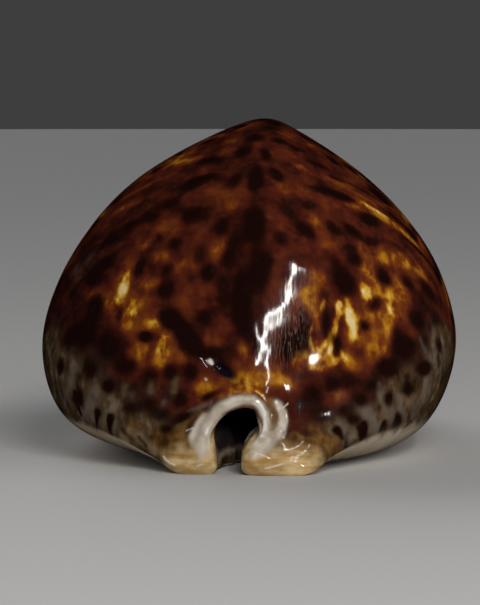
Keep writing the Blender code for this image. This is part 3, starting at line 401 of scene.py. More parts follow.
# Streaks in the enamel of the spire's end, by kind: half width, strength and the points that each runs
# through, all in millimetres. Lip streaks lie inside the canal, and the others outside. Shine streaks are
# painted highlights, the groove streak is painted shade, and some cream and gold streaks are a painted halo.
STREAKS = {
    "gold": [
        (0.43, 0.4, [(-10.6, -39.4, 7.2), (-8.9, -39.9, 7.7)]),
        (0.43, 0.5, [(-12.8, -39.2, 4.4), (-12.2, -39.4, 5.1)]),
        (0.35, 0.45, [(-13.9, -38.7, 5.4), (-13.4, -39, 4.8)]),
        (0.35, 0.7, [(-5.3, -41.5, 6.2), (-5.5, -41.7, 4.8), (-5.5, -42, 2.6)]),
        (0.46, 0.8, [(0.6, -37.5, 5.4), (-0.1, -41.5, 4.8), (-0.8, -42, 3.6), (-1, -42.4, 2.1)]),
        (0.46, 0.75, [(-3.9, -40.6, 10.7), (-2.6, -40.3, 11.5), (-1, -40.1, 11.8), (0.6, -40.3, 11.7),
            (1.5, -40.5, 11.1), (2.2, -40.8, 10.3)]),
        (0.72, 0.7, [(9.4, -32.8, 26.9), (10.5, -32.8, 26.2), (11.4, -33.2, 25), (11.7, -33.8, 23.6)]),
        (0.72, 0.4, [(7.9, -34.2, 25.1), (8.3, -34.8, 23.4), (8.8, -35.4, 21.5)]),
        # This streak, over the round light's highlight, is a painted halo of it
        (1.01, 0.5, [(7.5, -36.9, 17.6), (8.9, -36.7, 17.3), (10.3, -36.5, 16.8)]),
        (0.32, 0.7, [(14.1, -21.4, 36.4), (16.2, -20.1, 35.8), (18.6, -18.9, 34.6), (20.2, -18, 33.6)]),
        (0.26, 0.65, [(21, -17.3, 33.2), (22.5, -15.9, 32.2), (24, -15, 30.8)]),
    ],
    "spot": [
        (0.43, 0.3, [(-12.5, -39, 6.2), (-11.1, -39.6, 6)]),
        (1.01, 0.85, [(-11.9, -35.1, 21.5), (-10.1, -36, 20.1), (-8.4, -37, 18.3), (-6.7, -37.6, 16.4)]),
        (0.38, 0.7, [(15.1, -37.5, 6.1), (15.7, -36.5, 4.2)]),
        (0.35, 0.6, [(-21.5, -34.6, 6.8), (-21.5, -32.8, 4.9), (-21.4, -25.9, 2.9)]),
        (0.32, 0.6, [(-19.5, -36.1, 6.4), (-19.3, -35.6, 4.9)]),
        (0.35, 0.6, [(-15.5, -38, 4.8), (-14.5, -38.5, 3.6)]),
        (0.38, 0.8, [(-24.9, -31.9, 10.4), (-24.6, -31.9, 8.7), (-23.9, -32.1, 7.3)]),
        (0.29, 0.75, [(-21.5, -34.8, 7.9), (-21.5, -34.3, 6.2), (-21.3, -32.1, 4.5)]),
        (0.32, 0.8, [(-19.7, -36, 7.5), (-19.8, -35.7, 5.9), (-19.4, -35.2, 4.6)]),
        (0.32, 0.6, [(-18, -36.9, 5.9), (-17.3, -37.2, 5.1)]),
        (0.43, 0.8, [(18.8, -34.8, 6.5), (18.8, -33.7, 5), (18.4, -32.4, 3.7)]),
        (0.41, 0.8, [(20.7, -33.4, 7.5), (20.9, -31.7, 5.6), (20.4, -30.3, 4.1)]),
        (0.41, 0.75, [(15.8, -37.1, 6.5), (16.2, -36.5, 5), (16.3, -34.9, 3.6)]),
        (0.32, 0.6, [(22.4, -31.6, 7.8), (22.6, -29.9, 6.2), (22.2, -28.7, 4.9)]),
        (0.52, 0.7, [(12.1, -38.9, 5.9), (12.8, -38.9, 4.8)]),
    ],
    "olive": [
        (0.43, 0.5, [(-10, -39.8, 6.5), (-8.6, -40.1, 7.3)]),
        (0.38, 0.75, [(-0.7, -43, 1.1), (0.8, -43.1, 0.6), (2.5, -43.4, 0.5), (4.8, -43.4, 0.9),
            (6.9, -42.9, 1.5), (8.6, -42.2, 2.4)]),
        (0.32, 0.8, [(-20.4, -35.6, 7.3), (-20.7, -34.8, 5.7), (-20.7, -31.4, 3.8)]),
        (0.32, 0.5, [(-18, -36.9, 7.6), (-17.6, -37.1, 6.2)]),
        (0.46, 0.5, [(-17.5, -36.4, 11.8), (-17.7, -36.6, 10.2)]),
        (0.46, 0.5, [(-13.8, -37.4, 12.7), (-13.9, -37.7, 10.9)]),
        (0.55, 0.6, [(-10.3, -38.1, 12.9), (-10.6, -38.5, 11.3)]),
    ],
    "tan": [
        (1.3, 0.8, [(-10.3, -40.3, 5.2), (-8.9, -41.3, 4.5), (-8, -41.6, 3.1)]),
        (1.16, 0.75, [(-12.5, -39.6, 3.3), (-10.5, -40.8, 3)]),
        (1.01, 0.6, [(-11.4, -39.9, 4.6), (-12.5, -39.3, 5.1)]),
        (1.01, 0.8, [(5.2, -42.1, 4.2), (6.3, -42.3, 3.2), (8.3, -42, 3.2)]),
        (0.87, 0.6, [(6.4, -41.3, 5.3), (7.7, -41.7, 4.3)]),
        (0.65, 0.8, [(2.9, -40.6, 10), (3.1, -41.1, 8.1), (3, -41.6, 6.2)]),
        (0.87, 0.5, [(-9.4, -39.9, 6.8), (-7.8, -40.3, 8), (-6.4, -40.8, 8.8)]),
        (0.87, 0.75, [(8, -41.6, 4.3), (10, -40.3, 4.5), (12.2, -39.2, 4.5)]),
        (0.87, 0.7, [(6.9, -42.3, 3.2), (9.4, -41.5, 3.4), (11.9, -39.6, 3)]),
        (0.72, 0.5, [(8.6, -39.6, 6.2), (9.4, -40, 5.2)]),
        (0.58, 0.7, [(-16.6, -37.6, 6.6), (-15.6, -38, 6.1)]),
        (0.58, 0.6, [(-20.5, -35.4, 6.6), (-20.2, -34.4, 4.8)]),
        (0.72, 0.6, [(-13.9, -38.7, 5.3), (-13.1, -39.1, 4.4)]),
        (0.58, 0.6, [(21.7, -33, 9.7), (22.8, -31.6, 9), (23.2, -31.3, 9.5)]),
        (0.58, 0.8, [(18.4, -35.6, 8), (19.1, -34.3, 6.2), (19, -33, 4.6)]),
        (0.58, 0.7, [(17.1, -35.3, 4.6), (17.3, -32, 2.8)]),
        (0.72, 0.6, [(-13.9, -38.7, 4.5), (-12.5, -39.4, 4.1), (-11.1, -40.3, 4.1)]),
    ],
    "white": [
        (0.81, 0.9, [(-6.7, -42, 3.8), (-6.6, -41.8, 4.8), (-6.2, -41.7, 6.1), (-5.7, -41.7, 7.3),
            (-4.8, -41.6, 8.6), (-3.7, -41.5, 9.5), (-2.5, -41.4, 10.1), (-1, -41.3, 10.3),
            (0.4, -41.3, 10.1), (1.2, -41.5, 9.5), (1.7, -41.6, 8.6), (1.9, -41.6, 7.5), (1.8, -41.9, 6.2),
            (1.4, -42.2, 4.9), (0.9, -42.7, 3.7)]),
        (0.67, 0.5, [(-6.6, -42.2, 2.7), (-6.7, -42, 3.8)]),
        (0.67, 0.5, [(0.9, -42.7, 3.7), (0.3, -43.2, 2.8)]),
        (0.52, 0.65, [(-6.3, -41.2, 8), (-7.1, -41.2, 7.1), (-7.7, -41.4, 6.2), (-7.9, -41.5, 5.4)]),
        (0.43, 0.35, [(-7.9, -41.5, 5.5), (-8, -41.5, 4.8), (-7.9, -41.5, 4)]),
        (0.55, 0.85, [(3.8, -40.1, 9.6), (4.4, -40.2, 8.5), (4.5, -40.6, 7.5), (4.3, -41.3, 6.5),
            (3.9, -41.7, 5.7)]),
        (0.23, 0.5, [(4.3, -39.9, 9.4), (4.9, -40, 8.4), (5, -40.4, 7.3), (4.7, -41.4, 6.2)]),
        (0.8, 0.5, [(2.6, -41.8, 5.4), (2.2, -42.1, 4.5), (1.4, -42.7, 3.6)]),
        (0.58, 0.45, [(4, -41.7, 5.7), (3.2, -42.1, 4.5), (2.2, -42.5, 3.7)]),
    ],
    "lip": [
        (0.67, 1, [(0.8, -35.8, 5.9), (0.7, -36.3, 5.7), (0.4, -36.9, 5.5), (0.3, -37.2, 5.4), (0, -37, 5.2),
            (-0.1, -37.7, 5), (-0.4, -37.9, 4.8), (-0.6, -38.5, 4.6), (-0.7, -39, 4.4), (-0.8, -40.4, 4.1)]),
    ],
    # Painted highlights: short glints on the rim, the flanges, inside the canal and at the pit's edge
    "shine": [
        (0.25, 1, [(1, -41.4, 10.1), (1.5, -41.5, 9.5), (1.9, -41.6, 8.6), (2, -41.8, 7.1), (2, -41.9, 5.8)]),
        (0.19, 0.9, [(1.2, -41.2, 7), (1.5, -41.7, 6.1), (1.4, -42.1, 5.3)]),
        (0.19, 0.9, [(-5, -41.4, 7), (-5.5, -41.6, 6.3), (-5.7, -41.7, 5.8)]),
        (0.2, 0.9, [(-5.7, -41.7, 6.4), (-6.1, -41.8, 5.7), (-6.3, -41.8, 5.1)]),
        (0.16, 0.9, [(1.1, -41.1, 7.5), (0.8, -36.4, 5.7), (0, -38.4, 5), (-1, -29.2, 3.1)]),
        (0.14, 0.6, [(2.1, -43.4, 1.1), (2.9, -43.5, 1.3), (4, -43.4, 1.6), (5, -43.1, 2.2),
            (5.9, -42.8, 2.6), (6.8, -42.6, 2.8), (7.7, -42.1, 3.4)]),
        (0.16, 0.6, [(-12, -40.4, 2.4), (-11.6, -40.6, 1.9), (-11.1, -40.9, 1.5), (-10.4, -41.2, 1.3)]),
        (0.14, 0.5, [(-7.3, -42.2, 1.3), (-6.6, -42.3, 1.5)]),
        (0.14, 0.6, [(2.5, -39.6, 12), (2.3, -40.2, 11.3)]),
        (0.19, 0.8, [(3.6, -40.1, 9.9), (3.7, -40, 9.9)]),
        (0.13, 0.6, [(4.5, -39.9, 9.1), (5.3, -39.5, 9.6)]),
        (0.19, 0.5, [(-8.8, -40.6, 6), (-7.9, -41.3, 6.4)]),
        (0.35, 0.8, [(-5.6, -37.6, 15.4), (-5.4, -37.5, 15.1)]),
        (0.19, 0.6, [(-6.1, -38.8, 13.1), (-6, -38.9, 12.9)]),
    ],
    "pale": [
        (0.38, 0.85, [(-8.5, -39.8, 8.4), (-7.5, -40.1, 9), (-6.4, -40.5, 9.5), (-5.4, -40.6, 9.8)]),
        (0.36, 0.45, [(-12.9, -38.5, 8.1), (-12.5, -38.5, 8.9), (-12, -38.5, 9.7)]),
        (0.43, 0.4, [(-13.5, -38.5, 7.2), (-12.9, -38.8, 6.6)]),
        (0.52, 0.85, [(-24.8, -31.5, 14.1), (-25.3, -31.3, 11.9), (-26.1, -30, 9.9), (-26.4, -28.2, 7.9)]),
        (0.72, 0.85, [(-21.7, -34.6, 11), (-22.2, -34.4, 9.4), (-23.1, -33.3, 7.8)]),
        (0.32, 0.8, [(-23.3, -33.1, 7.7), (-23.7, -31.4, 6.3), (-23.7, -28.5, 4.8), (-23.3, -24.1, 3.5)]),
        (0.28, 0.75, [(-22.1, -34.2, 7.4), (-22.3, -33.2, 6), (-22, -30.4, 4.3)]),
        (0.35, 0.75, [(-18.9, -36.5, 6.7), (-19.2, -36.1, 5.5), (-18.9, -35.4, 4.3)]),
        (0.35, 0.35, [(-27.8, -24.7, 18.6), (-28.6, -24.9, 15.7), (-28.4, -25.9, 12.7),
            (-27.6, -27.1, 10.2)]),
        (0.32, 0.35, [(-26.2, -28.8, 16.8), (-26.7, -28.7, 15.2)]),
        (0.52, 1, [(25.1, -29.4, 12.3), (25, -29, 10.4), (24.7, -28.3, 8.5)]),
        (0.58, 0.55, [(28.2, -23.3, 15.3), (27.7, -24.7, 13.8), (26.7, -26.6, 12.5)]),
        (0.35, 0.5, [(26.6, -26.8, 15.6), (26.1, -27.9, 14.3)]),
        (0.32, 0.85, [(17.9, -35.3, 11.9), (18.3, -35.5, 10.1), (18.9, -35.2, 8.4), (19.5, -34.3, 6.9),
            (19.8, -32.9, 5.3)]),
        (0.49, 0.9, [(21, -33.7, 9.9), (21.2, -33.1, 8.2), (21.8, -31, 6.2)]),
        (0.81, 0.9, [(15.5, -37, 8.7), (16.8, -36.5, 7.7), (17.7, -35.8, 6.2), (17.9, -34.2, 4.5)]),
        (0.52, 0.75, [(19.4, -34.9, 8.2), (20.1, -33.4, 6.5), (20.2, -31.5, 4.7)]),
        (0.61, 0.7, [(12.4, -38.5, 6.7), (13.2, -38.4, 5.8), (14.2, -38, 4.9)]),
        (0.41, 0.7, [(22.9, -31.8, 9.9), (23.3, -30.4, 8), (23, -29.4, 6.4)]),
        (0.38, 0.6, [(23.9, -29, 7.5), (23.4, -28.2, 6)]),
        (0.43, 0.4, [(24.3, -29.1, 17.6), (24.9, -29.1, 15.9)]),
    ],
    "cream": [
        (0.49, 0.45, [(-3, -40.9, 10.7), (-1.8, -40.6, 11.1), (-0.6, -40.6, 11.2), (0.6, -40.9, 11)]),
        (0.17, 0.8, [(0.8, -40.4, 11.5), (1.7, -40.6, 10.9), (2.2, -40.8, 10.1)]),
        (0.38, 1.3, [(12.6, -33.7, 23), (12.2, -34.6, 21.2), (11.8, -35.4, 19.3), (11.2, -36.3, 16.8)]),
        (0.35, 0.9, [(10.4, -34.1, 23.6), (10.2, -34.6, 22.6), (9.9, -35.1, 21.5)]),
        # These five streaks, radiating from the round light's highlight, are a painted halo of it
        (0.29, 0.8, [(8.8, -36.9, 16.9), (8.2, -36.6, 18.1), (8.5, -36.1, 19.6), (8.7, -35.7, 20.7)]),
        (0.51, 0.5, [(8.1, -37.1, 16.6), (6.8, -37.3, 16.6), (5.8, -37.8, 15.5)]),
        (0.46, 0.6, [(9.9, -36.9, 15.9), (11, -36.6, 16.1), (12.1, -36.5, 15.3)]),
        (0.35, 1.1, [(9.6, -36.7, 16.8), (10.8, -36.1, 18.1), (11.3, -35.6, 19.3)]),
        (0.46, 0.5, [(8.6, -37.6, 14.4), (10, -37.3, 14.2), (12, -36.6, 15.1)]),
        (0.17, 0.35, [(19.6, -31.5, 20.9), (19.7, -32.3, 19), (19.2, -33.4, 16.8), (18.5, -34.1, 15.8)]),
    ],
    # Painted shade: a dark line along the groove outside the canal's rim
    "groove": [
        (0.23, 0.35, [(-7.6, -41.5, 3.8), (-7.5, -41.4, 5.2), (-6.9, -41.2, 7), (-6.1, -41, 8.5),
            (-5.3, -40.6, 9.7)]),
    ],
    "margin": [
        (0.72, 0.9, [(-16.6, -37.6, 5.6), (-15.3, -38.1, 4.7), (-14.1, -38.7, 3.8), (-13.1, -39.3, 2.8)]),
        (0.46, 0.6, [(-18, -36.6, 4.8), (-17, -37.1, 4.1), (-15.9, -37.7, 3.8)]),
        (0.49, 0.8, [(18, -34.1, 4.5), (17.5, -31.9, 2.9), (17, -29.1, 1.5)]),
        (0.46, 0.7, [(19.9, -32.2, 4.9), (19.5, -30.4, 3.4)]),
        (0.52, 0.7, [(14.8, -37.4, 4.3), (14.3, -36.4, 2.9), (13.3, -35.2, 1.9)]),
        (0.43, 0.7, [(22, -30.2, 5.7), (21.3, -29.4, 4.5)]),
    ],
}

# Relief round the canal and along the flanges, in millimetres: height, half width and the points that
# each ridge or groove runs through
RIDGES = [
    (0.16, 0.7, [(-6.8, -42.3, 2), (-6.8, -42, 3.3), (-6.6, -41.9, 4.4), (-6.2, -41.8, 5.8),
        (-5.7, -41.7, 7.2), (-4.8, -41.6, 8.5), (-3.7, -41.5, 9.5), (-2.5, -41.4, 10), (-1, -41.3, 10.2),
        (0.3, -41.3, 10.1), (1.2, -41.5, 9.6), (1.8, -41.6, 8.7), (1.9, -41.6, 7.6), (1.7, -41.7, 6.4),
        (1.4, -42.1, 5.3), (0.8, -42.6, 4.1), (0.4, -43.1, 2.9), (0.1, -43.3, 1.8)]),
    (-0.22, 0.45, [(-7.5, -41.6, 3.4), (-7.5, -41.4, 4.9), (-6.9, -41.2, 7), (-6.1, -41, 8.5),
        (-5.3, -40.7, 9.6), (-4, -40.6, 10.5), (-2.5, -40.6, 11.1), (-1, -40.5, 11.3), (0.6, -40.6, 11.2),
        (1.7, -40.8, 10.5), (2.4, -40.9, 9.5), (2.7, -41.2, 8.2), (2.8, -41.5, 6.9), (2.5, -41.8, 5.3),
        (1.9, -42.3, 3.9)]),
    (0.2, 0.48, [(-6.6, -41.1, 8.1), (-7.5, -41.2, 7), (-8.1, -41.4, 6), (-8.4, -41.5, 5.1),
        (-8.4, -41.6, 4)]),
    (-0.12, 0.45, [(-7.8, -40.4, 7.7), (-8.6, -40.3, 6.7), (-9.1, -40.6, 5.7), (-9.1, -41.1, 4.6)]),
    (-0.1, 0.7, [(3.6, -40.1, 9.8), (4.2, -40.3, 8.6), (4.3, -40.8, 7.2), (3.9, -41.7, 5.8), (3, -42, 4.7)]),
    (0.1, 0.23, [(4.6, -39.7, 9.9), (5.1, -39.9, 8.7), (5.3, -40.4, 7.3), (5, -41.6, 5.9), (4.3, -42, 4.7)]),
    (0.14, 0.77, [(1.7, -43.3, 0.6), (2.8, -43.5, 1), (4, -43.5, 1.4), (5.2, -43.2, 1.9), (6.5, -42.7, 2.5),
        (7.6, -42.2, 3.2), (8.4, -41.7, 4)]),
    (-0.06, 0.7, [(1.7, -43.2, 1.8), (3, -43.1, 2.2), (4.4, -42.8, 2.6), (5.7, -42.4, 3.2), (6.8, -41.9, 4)]),
    (0.09, 1.69, [(7.2, -39.3, 8), (7.2, -39.5, 7.4), (7.3, -40.1, 6)]),
    (0.2, 0.51, [(-12.5, -40.1, 2.5), (-11.8, -40.6, 1.9), (-10.9, -41, 1.4), (-10, -41.4, 1),
        (-8.7, -41.8, 0.9), (-7.5, -42.2, 1), (-6.1, -42.3, 1.3)]),
    (-0.1, 0.51, [(-11.6, -40.2, 3), (-10.5, -40.8, 2.4), (-9.1, -41.4, 2), (-7.5, -41.9, 2.2)]),
]


def spline(controls, at):
    """Points at parameters 0..1 on the clamped cubic B-spline of an array's controls, on its first axis."""
    count = len(controls)
    knots = np.concatenate([[0.0] * 3, np.linspace(0.0, 1.0, count - 2), [1.0] * 3])
    at = np.clip(np.asarray(at, float), 0.0, 1.0 - 1e-12)[:, None]
    basis = ((knots[:-1] <= at) & (at < knots[1:])).astype(float)
    for degree in (1, 2, 3):
        spans = len(knots) - degree - 1
        rise, fall = knots[degree : degree + spans], knots[degree + 1 : degree + 1 + spans]
        start, after = knots[:spans], knots[1 : 1 + spans]
        up = (at - start) / np.where(rise > start, rise - start, np.inf)
        down = (fall - at) / np.where(fall > after, fall - after, np.inf)
        basis = up * basis[:, :spans] + down * basis[:, 1 : spans + 1]
    return np.tensordot(basis, np.asarray(controls, float), 1)


def half_back(section, side, foot, widest, top):
    """Controls of one half of the back, from its widest point to beside the crown."""
    shape = BACK_RIGHT if side > 0 else BACK_LEFT
    reach = foot - section["mid"]
    return [(section["mid"] + reach * across, widest + (top - widest) * up) for across, up in shape]


def half_outside(section, side):
    """Controls of one half of the outside, from inside the slit over the base and margin to the crown."""
    lip = section["slit"] + side * section["gap"]
    foot = section["mid"] + side * (section["right"] if side > 0 else section["left"])
    lift = section["lift_right"] if side > 0 else section["lift_left"]
    reach = foot - lip
    widest = section["widest"]
    near, low, mid_base, edge, margin = BASE_RIGHT if side > 0 else BASE_LEFT
    lip_and_base = [
        (lip, LIP_UP),
        (lip + side * 0.1, 0.2),
        (lip + near * reach, -BASE_DOWN),
        (lip + low * reach, 0.3 * lift - BASE_DOWN),
        (lip + mid_base * reach, 0.7 * lift - 0.75 * BASE_DOWN),
        (lip + edge * reach, 0.13 * widest + lift),
        (lip + margin * reach, 0.41 * widest + 0.7 * lift),
    ]
    return lip_and_base + half_back(section, side, foot, widest, section["top"])


def half_inside(section, side):
    """Controls of one half of the hollow, from inside the slit over the floor to under the crown."""
    lip = section["slit"] + side * section["gap"]
    half_width = section["right"] if side > 0 else section["left"]
    foot = section["mid"] + side * (half_width - 1.15 * section["wall"])
    reach = foot - lip
    floor = section["base"]
    top = section["top"] - section["wall"]
    widest = max(section["widest"], floor + 0.22 * (top - floor))
    lip_and_floor = [
        (lip, LIP_UP),
        (lip, 0.35 * floor),
        (lip, 0.65 * floor),
        (lip + side * 0.3, 0.95 * floor),
        (lip + 0.25 * reach, 1.02 * floor),
        (lip + 0.62 * reach, floor),
        (lip + 0.93 * reach, floor + 0.15 * (widest - floor)),
    ]
    return lip_and_floor + half_back(section, side, foot, widest, top)


def half_core(section, side):
    """Controls of one half of the surface in the middle of the wall."""
    pairs = zip(half_outside(section, side), half_inside(section, side))
    return [(0.5 * (x_out + x_in), 0.5 * (z_out + z_in)) for (x_out, z_out), (x_in, z_in) in pairs]


def both_halves(half):
    """The whole outline of the front tip from its half."""
    left = [(FRONT_TIP_MIDDLE - across, up, along) for across, up, along in half]
    right = [(FRONT_TIP_MIDDLE + across, up, along) for across, up, along in half]
    return right + left[-2::-1]


def control_net(half, spire_tip, front_tip, sunk):
    """Controls of one surface of the wall: a row to each section, from the lip at +X to the one at -X."""
    net = []
    for values in SECTIONS:
        section = dict(zip(SECTION_FIELDS, values))
        crown = (section["mid"], section["top"] - sunk * section["wall"])
        outline = half(section, 1) + [crown] + half(section, -1)[::-1]
        body = np.array([(across, section["y"], up) for across, up in outline])
        tip_outline = spire_tip if section["y"] < 0.0 else both_halves(front_tip)
        tip = np.array([(across, section["y"] + along, up) for across, up, along in tip_outline])
        net.append(body + section["rim"] * (tip - body))
    return np.array(net) * MM


def skin(net, along, around):
    """Points of a skin at each pair of parameters."""
    rows = spline(net, along)
    return np.moveaxis(spline(np.moveaxis(rows, 1, 0), around), 0, 1)


def smooth(value, low, high):
    """0 below low, 1 above high, and a smooth step between them."""
    share = np.clip((value - low) / (high - low), 0.0, 1.0)
    return share * share * (3.0 - 2.0 * share)


def either(*masks):
    """Several masks laid over one another."""
    left = 1.0
    for mask in masks:
        left = left * (1.0 - mask)
    return 1.0 - left


def ring_parameters(net):
    """Parameters of the rings along the shell: several to a tooth, and close ones to round off the tips."""
    fine = np.linspace(0.0, 1.0, 4001)
    place = spline(net[:, len(net[0]) // 2, 1], fine)
    face = np.linspace(TOOTHED_FROM, TOOTHED_FROM + FACE_LENGTH, TOOTH_RINGS[0] + 1)
    toothed = np.concatenate([face[:-1], np.linspace(face[-1], TOOTHED_TO, TOOTH_RINGS[1] + 1)])
    first, last = np.interp([TOOTHED_FROM, TOOTHED_TO], place, fine)
    spire = first * np.linspace(0.0, 1.0, SPIRE_RINGS + 1)[:-1] ** SPIRE_CROWDING
    front = 1.0 - (1.0 - last) * np.linspace(0.0, 1.0, FRONT_RINGS + 1)[-2::-1] ** FRONT_CROWDING
    return np.concatenate([spire, np.interp(toothed, place, fine), front])


def outward(points):
    """Unit normals of a grid of points, all on the same side of it."""
    normal = np.cross(np.gradient(points, axis=0), np.gradient(points, axis=1))
    normal /= np.linalg.norm(normal, axis=-1, keepdims=True) + 1e-12
    return normal


def distance_to(points, line):
    """Distance of each point to the nearest of a line's points, in blocks that fit the memory."""
    flat = points.reshape(-1, 3)
    block = 4000
    nearest = np.full(len(flat), np.inf)
    for start in range(0, len(flat), block):
        gaps = np.linalg.norm(flat[start : start + block, None] - line[None], axis=-1)
        nearest[start : start + block] = gaps.min(1)
    return nearest.reshape(points.shape[:-1])


def ripple(points, size, seed):
    """Smooth waves of about the given size in every direction, between -1 and 1."""
    dice = np.random.default_rng(seed)
    total = np.zeros(points.shape[:-1])
    for _ in range(10):
        way = dice.normal(size=3)
        way /= np.linalg.norm(way)
        pitch = size * dice.uniform(0.7, 1.4)
        total += np.sin(points @ way * (2.0 * np.pi / pitch) + dice.uniform(0.0, 6.28))
    return total / 4.5


class Wall:
    """The wall's two skins as grids of points, and the crests that join them at the two tips."""

    def __init__(self, tooth_reach, pit_depth, canal_relief, swell):
        outside_net = control_net(half_outside, SPIRE_TIP_OUTSIDE, FRONT_TIP_OUTSIDE, 0.0)
        inside_net = control_net(half_inside, SPIRE_TIP_INSIDE, FRONT_TIP_INSIDE, 1.0)
        core_net = control_net(half_core, SPIRE_TIP_CORE, FRONT_TIP_CORE, 0.5)
        along = ring_parameters(outside_net)
        steps = np.linspace(0.0, 1.0, OUTSIDE_STEPS + 1)
        around = steps - LIP_CROWDING * np.sin(2.0 * np.pi * steps) / (2.0 * np.pi)
        outside = skin(outside_net, along, around)
        inside = skin(inside_net, along, around)
        core = skin(core_net, along, around)
        self.pit = self.pit_share(outside)
        outside[..., 1] += pit_depth * self.pit
        waves = sum(share * ripple(outside / MM, size, seed) for share, size, seed in WAVES)
        outside += (swell * waves)[..., None] * outward(outside)

        # The teeth stand into the slit from both lips and fade out over the base and the floor
        place = outside[:, OUTSIDE_STEPS // 2, 1]
        phase = (place - TOOTHED_FROM) / (TOOTHED_TO - TOOTHED_FROM) * TEETH
        inside_row = smooth(phase, 0.0, 0.6) * smooth(TEETH - phase, 0.0, 0.6)
        wave = (0.5 - 0.5 * np.cos(2.0 * np.pi * phase)) * inside_row
        near = smooth(1.0 - np.minimum(around, 1.0 - around) / TOOTH_SPAN, 0.0, 1.0)
        side = np.where(around < 0.5, -1.0, 1.0)
        teeth = tooth_reach * wave[:, None] * near * side
        outside[..., 0] += teeth
        inside[..., 0] += teeth

        # At the tips the two skins close in on the crest in a quarter of a circle
        left_over = 1.0 - np.clip(np.minimum(along, 1.0 - along) / EDGE_ROUND, 0.0, 1.0)
        share = np.sqrt(1.0 - left_over**2)[:, None, None]
        outside = core + share * (outside - core)
        inside = core + share * (inside - core)

        self.along = along
        self.around = around
        self.spire_crest = core[0]
        self.front_crest = core[-1]
        self.outside = outside
        self.inside = inside[:, :: OUTSIDE_STEPS // INSIDE_STEPS]
        self.place_in_box()
        self.add_relief(canal_relief)
        self.place_in_box()

    def add_relief(self, scale):
        """Raises the canal's rim and the flanges' rolls, and presses in the grooves between them."""
        places = self.outside.reshape(-1, 3)
        rise = np.zeros(len(places))
        for height, width, line in RIDGES:
            near, gaps = line_gap(places, line, 3.0 * width * MM)
            rise[near] += height * scale * np.exp(-((gaps / (width * MM)) ** 2))
        self.outside += (rise * MM).reshape(self.outside.shape[:2])[..., None] * self.out_normal()

    @staticmethod
    def pit_share(points):
        """How deep in the spire's pit each point of the outside lies, from 0 to 1."""
        across = points[..., 0] - PIT_CENTRE[0]
        up = points[..., 2] - PIT_CENTRE[1]
        cos, sin = np.cos(PIT_TURN), np.sin(PIT_TURN)
        long = (across * cos + up * sin) / PIT_LONG
        short = (up * cos - across * sin) / PIT_SHORT
        return np.where(points[..., 1] < PIT_SIDE, np.exp(-(long**2) - short**2), 0.0)

    def place_in_box(self):
        """Grinds the base flat at Z = 0 and fits the wall to the frame's own shell."""
        grids = [self.outside, self.inside, self.spire_crest, self.front_crest]
        for grid in grids:
            grid[..., 2] = np.maximum(grid[..., 2], 0.0)
        every = np.concatenate([self.outside.reshape(-1, 3), self.inside.reshape(-1, 3)])
        low, high = every.min(0), every.max(0)
        box_low, box_high = (np.array(corner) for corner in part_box("shell"))
        for grid in grids:
            grid -= low
            grid *= (box_high - box_low) / (high - low)
            grid += box_low

    def out_normal(self):
        """Unit normals of the outside, pointing out of the wall."""
        normal = outward(self.outside)
        return normal if normal[len(normal) // 2, self.outside.shape[1] // 2, 2] > 0.0 else -normal


def make_mesh(wall, name):
    """One closed mesh over both skins, which share their points along the two lips and the two crests."""
    rings, across = wall.outside.shape[:2]
    inner = wall.inside.shape[1]
    step = (across - 1) // (inner - 1)
    outer = np.arange(rings * across).reshape(rings, across)
    nearest = np.minimum(np.round(np.arange(across) / step).astype(int) * step, across - 1)
    outer[[0, -1]] = outer[[0, -1]][:, nearest]
    inward = rings * across + np.arange(rings * inner).reshape(rings, inner)
    inward[:, [0, -1]] = outer[:, [0, -1]]
    inward[[0, -1]] = outer[[0, -1], ::step]
    faces = []
    for grid, turned in ((outer, 1), (inward, -1)):
        quads = np.stack([grid[:-1, :-1], grid[:-1, 1:], grid[1:, 1:], grid[1:, :-1]], -1).reshape(-1, 4)
        faces += [list(dict.fromkeys(quad)) for quad in quads[:, ::turned].tolist()]
    faces = [face for face in faces if len(face) > 2]
    points = np.concatenate([wall.outside.reshape(-1, 3), wall.inside.reshape(-1, 3)])
    used = np.unique(np.concatenate(faces))
    renumbered = np.full(len(points), -1)
    renumbered[used] = np.arange(len(used))
    faces = [renumbered[face].tolist() for face in faces]
    mesh = bpy.data.meshes.new(name)
    mesh.from_pydata(points[used].tolist(), [], faces)

    # The hollow's painted shade starts a little way in from the edge, and the pale inner lip lies over it
    edge = np.concatenate([wall.spire_crest, wall.front_crest, wall.inside[::3, 0], wall.inside[::3, -1]])
    lip = streaks(wall.inside.reshape(-1, 3), "lip", 2.0)
    deep = smooth(distance_to(wall.inside, edge).reshape(-1) / MM, *HOLLOW_FROM_TO) * (1.0 - lip)
    for mask, values in enamel_masks(wall).items():
        within = values.reshape(rings, across)[:, ::step].reshape(-1) * (1.0 - deep) * (1.0 - lip)
        if mask == "white_rim":
            within += lip
        every = np.concatenate([values, deep if mask == "hollow" else within]).astype(np.float32)
        mesh.attributes.new(mask, "FLOAT", "POINT").data.foreach_set("value", every[used])
    mesh.validate()
    crown = mesh.polygons[(rings // 2) * (across - 1) + across // 2]
    if crown.normal.z < 0.0:
        mesh.flip_normals()
    mesh.shade_smooth()
    return mesh


def line_gap(places, line, reach):
    """Which places lie within reach of a line, given in millimetres, and how far they lie from it."""
    line = np.array(line) * MM
    at = np.linspace(0.0, len(line) - 1.0, 12 * (len(line) - 1) + 1)
    fine = np.stack([np.interp(at, np.arange(len(line)), line[:, axis]) for axis in range(3)], -1)
    low, high = fine.min(0) - reach, fine.max(0) + reach
    near = np.flatnonzero(((places > low) & (places < high)).all(1))
    gaps = np.linalg.norm(places[near][:, None] - fine[None], axis=-1).min(1)
    return near, gaps


def coverage(size, sharpness):
    """How much a mark covers at a distance, given in its own half widths: about half at its outline."""
    return np.exp(-0.7 * size**sharpness)


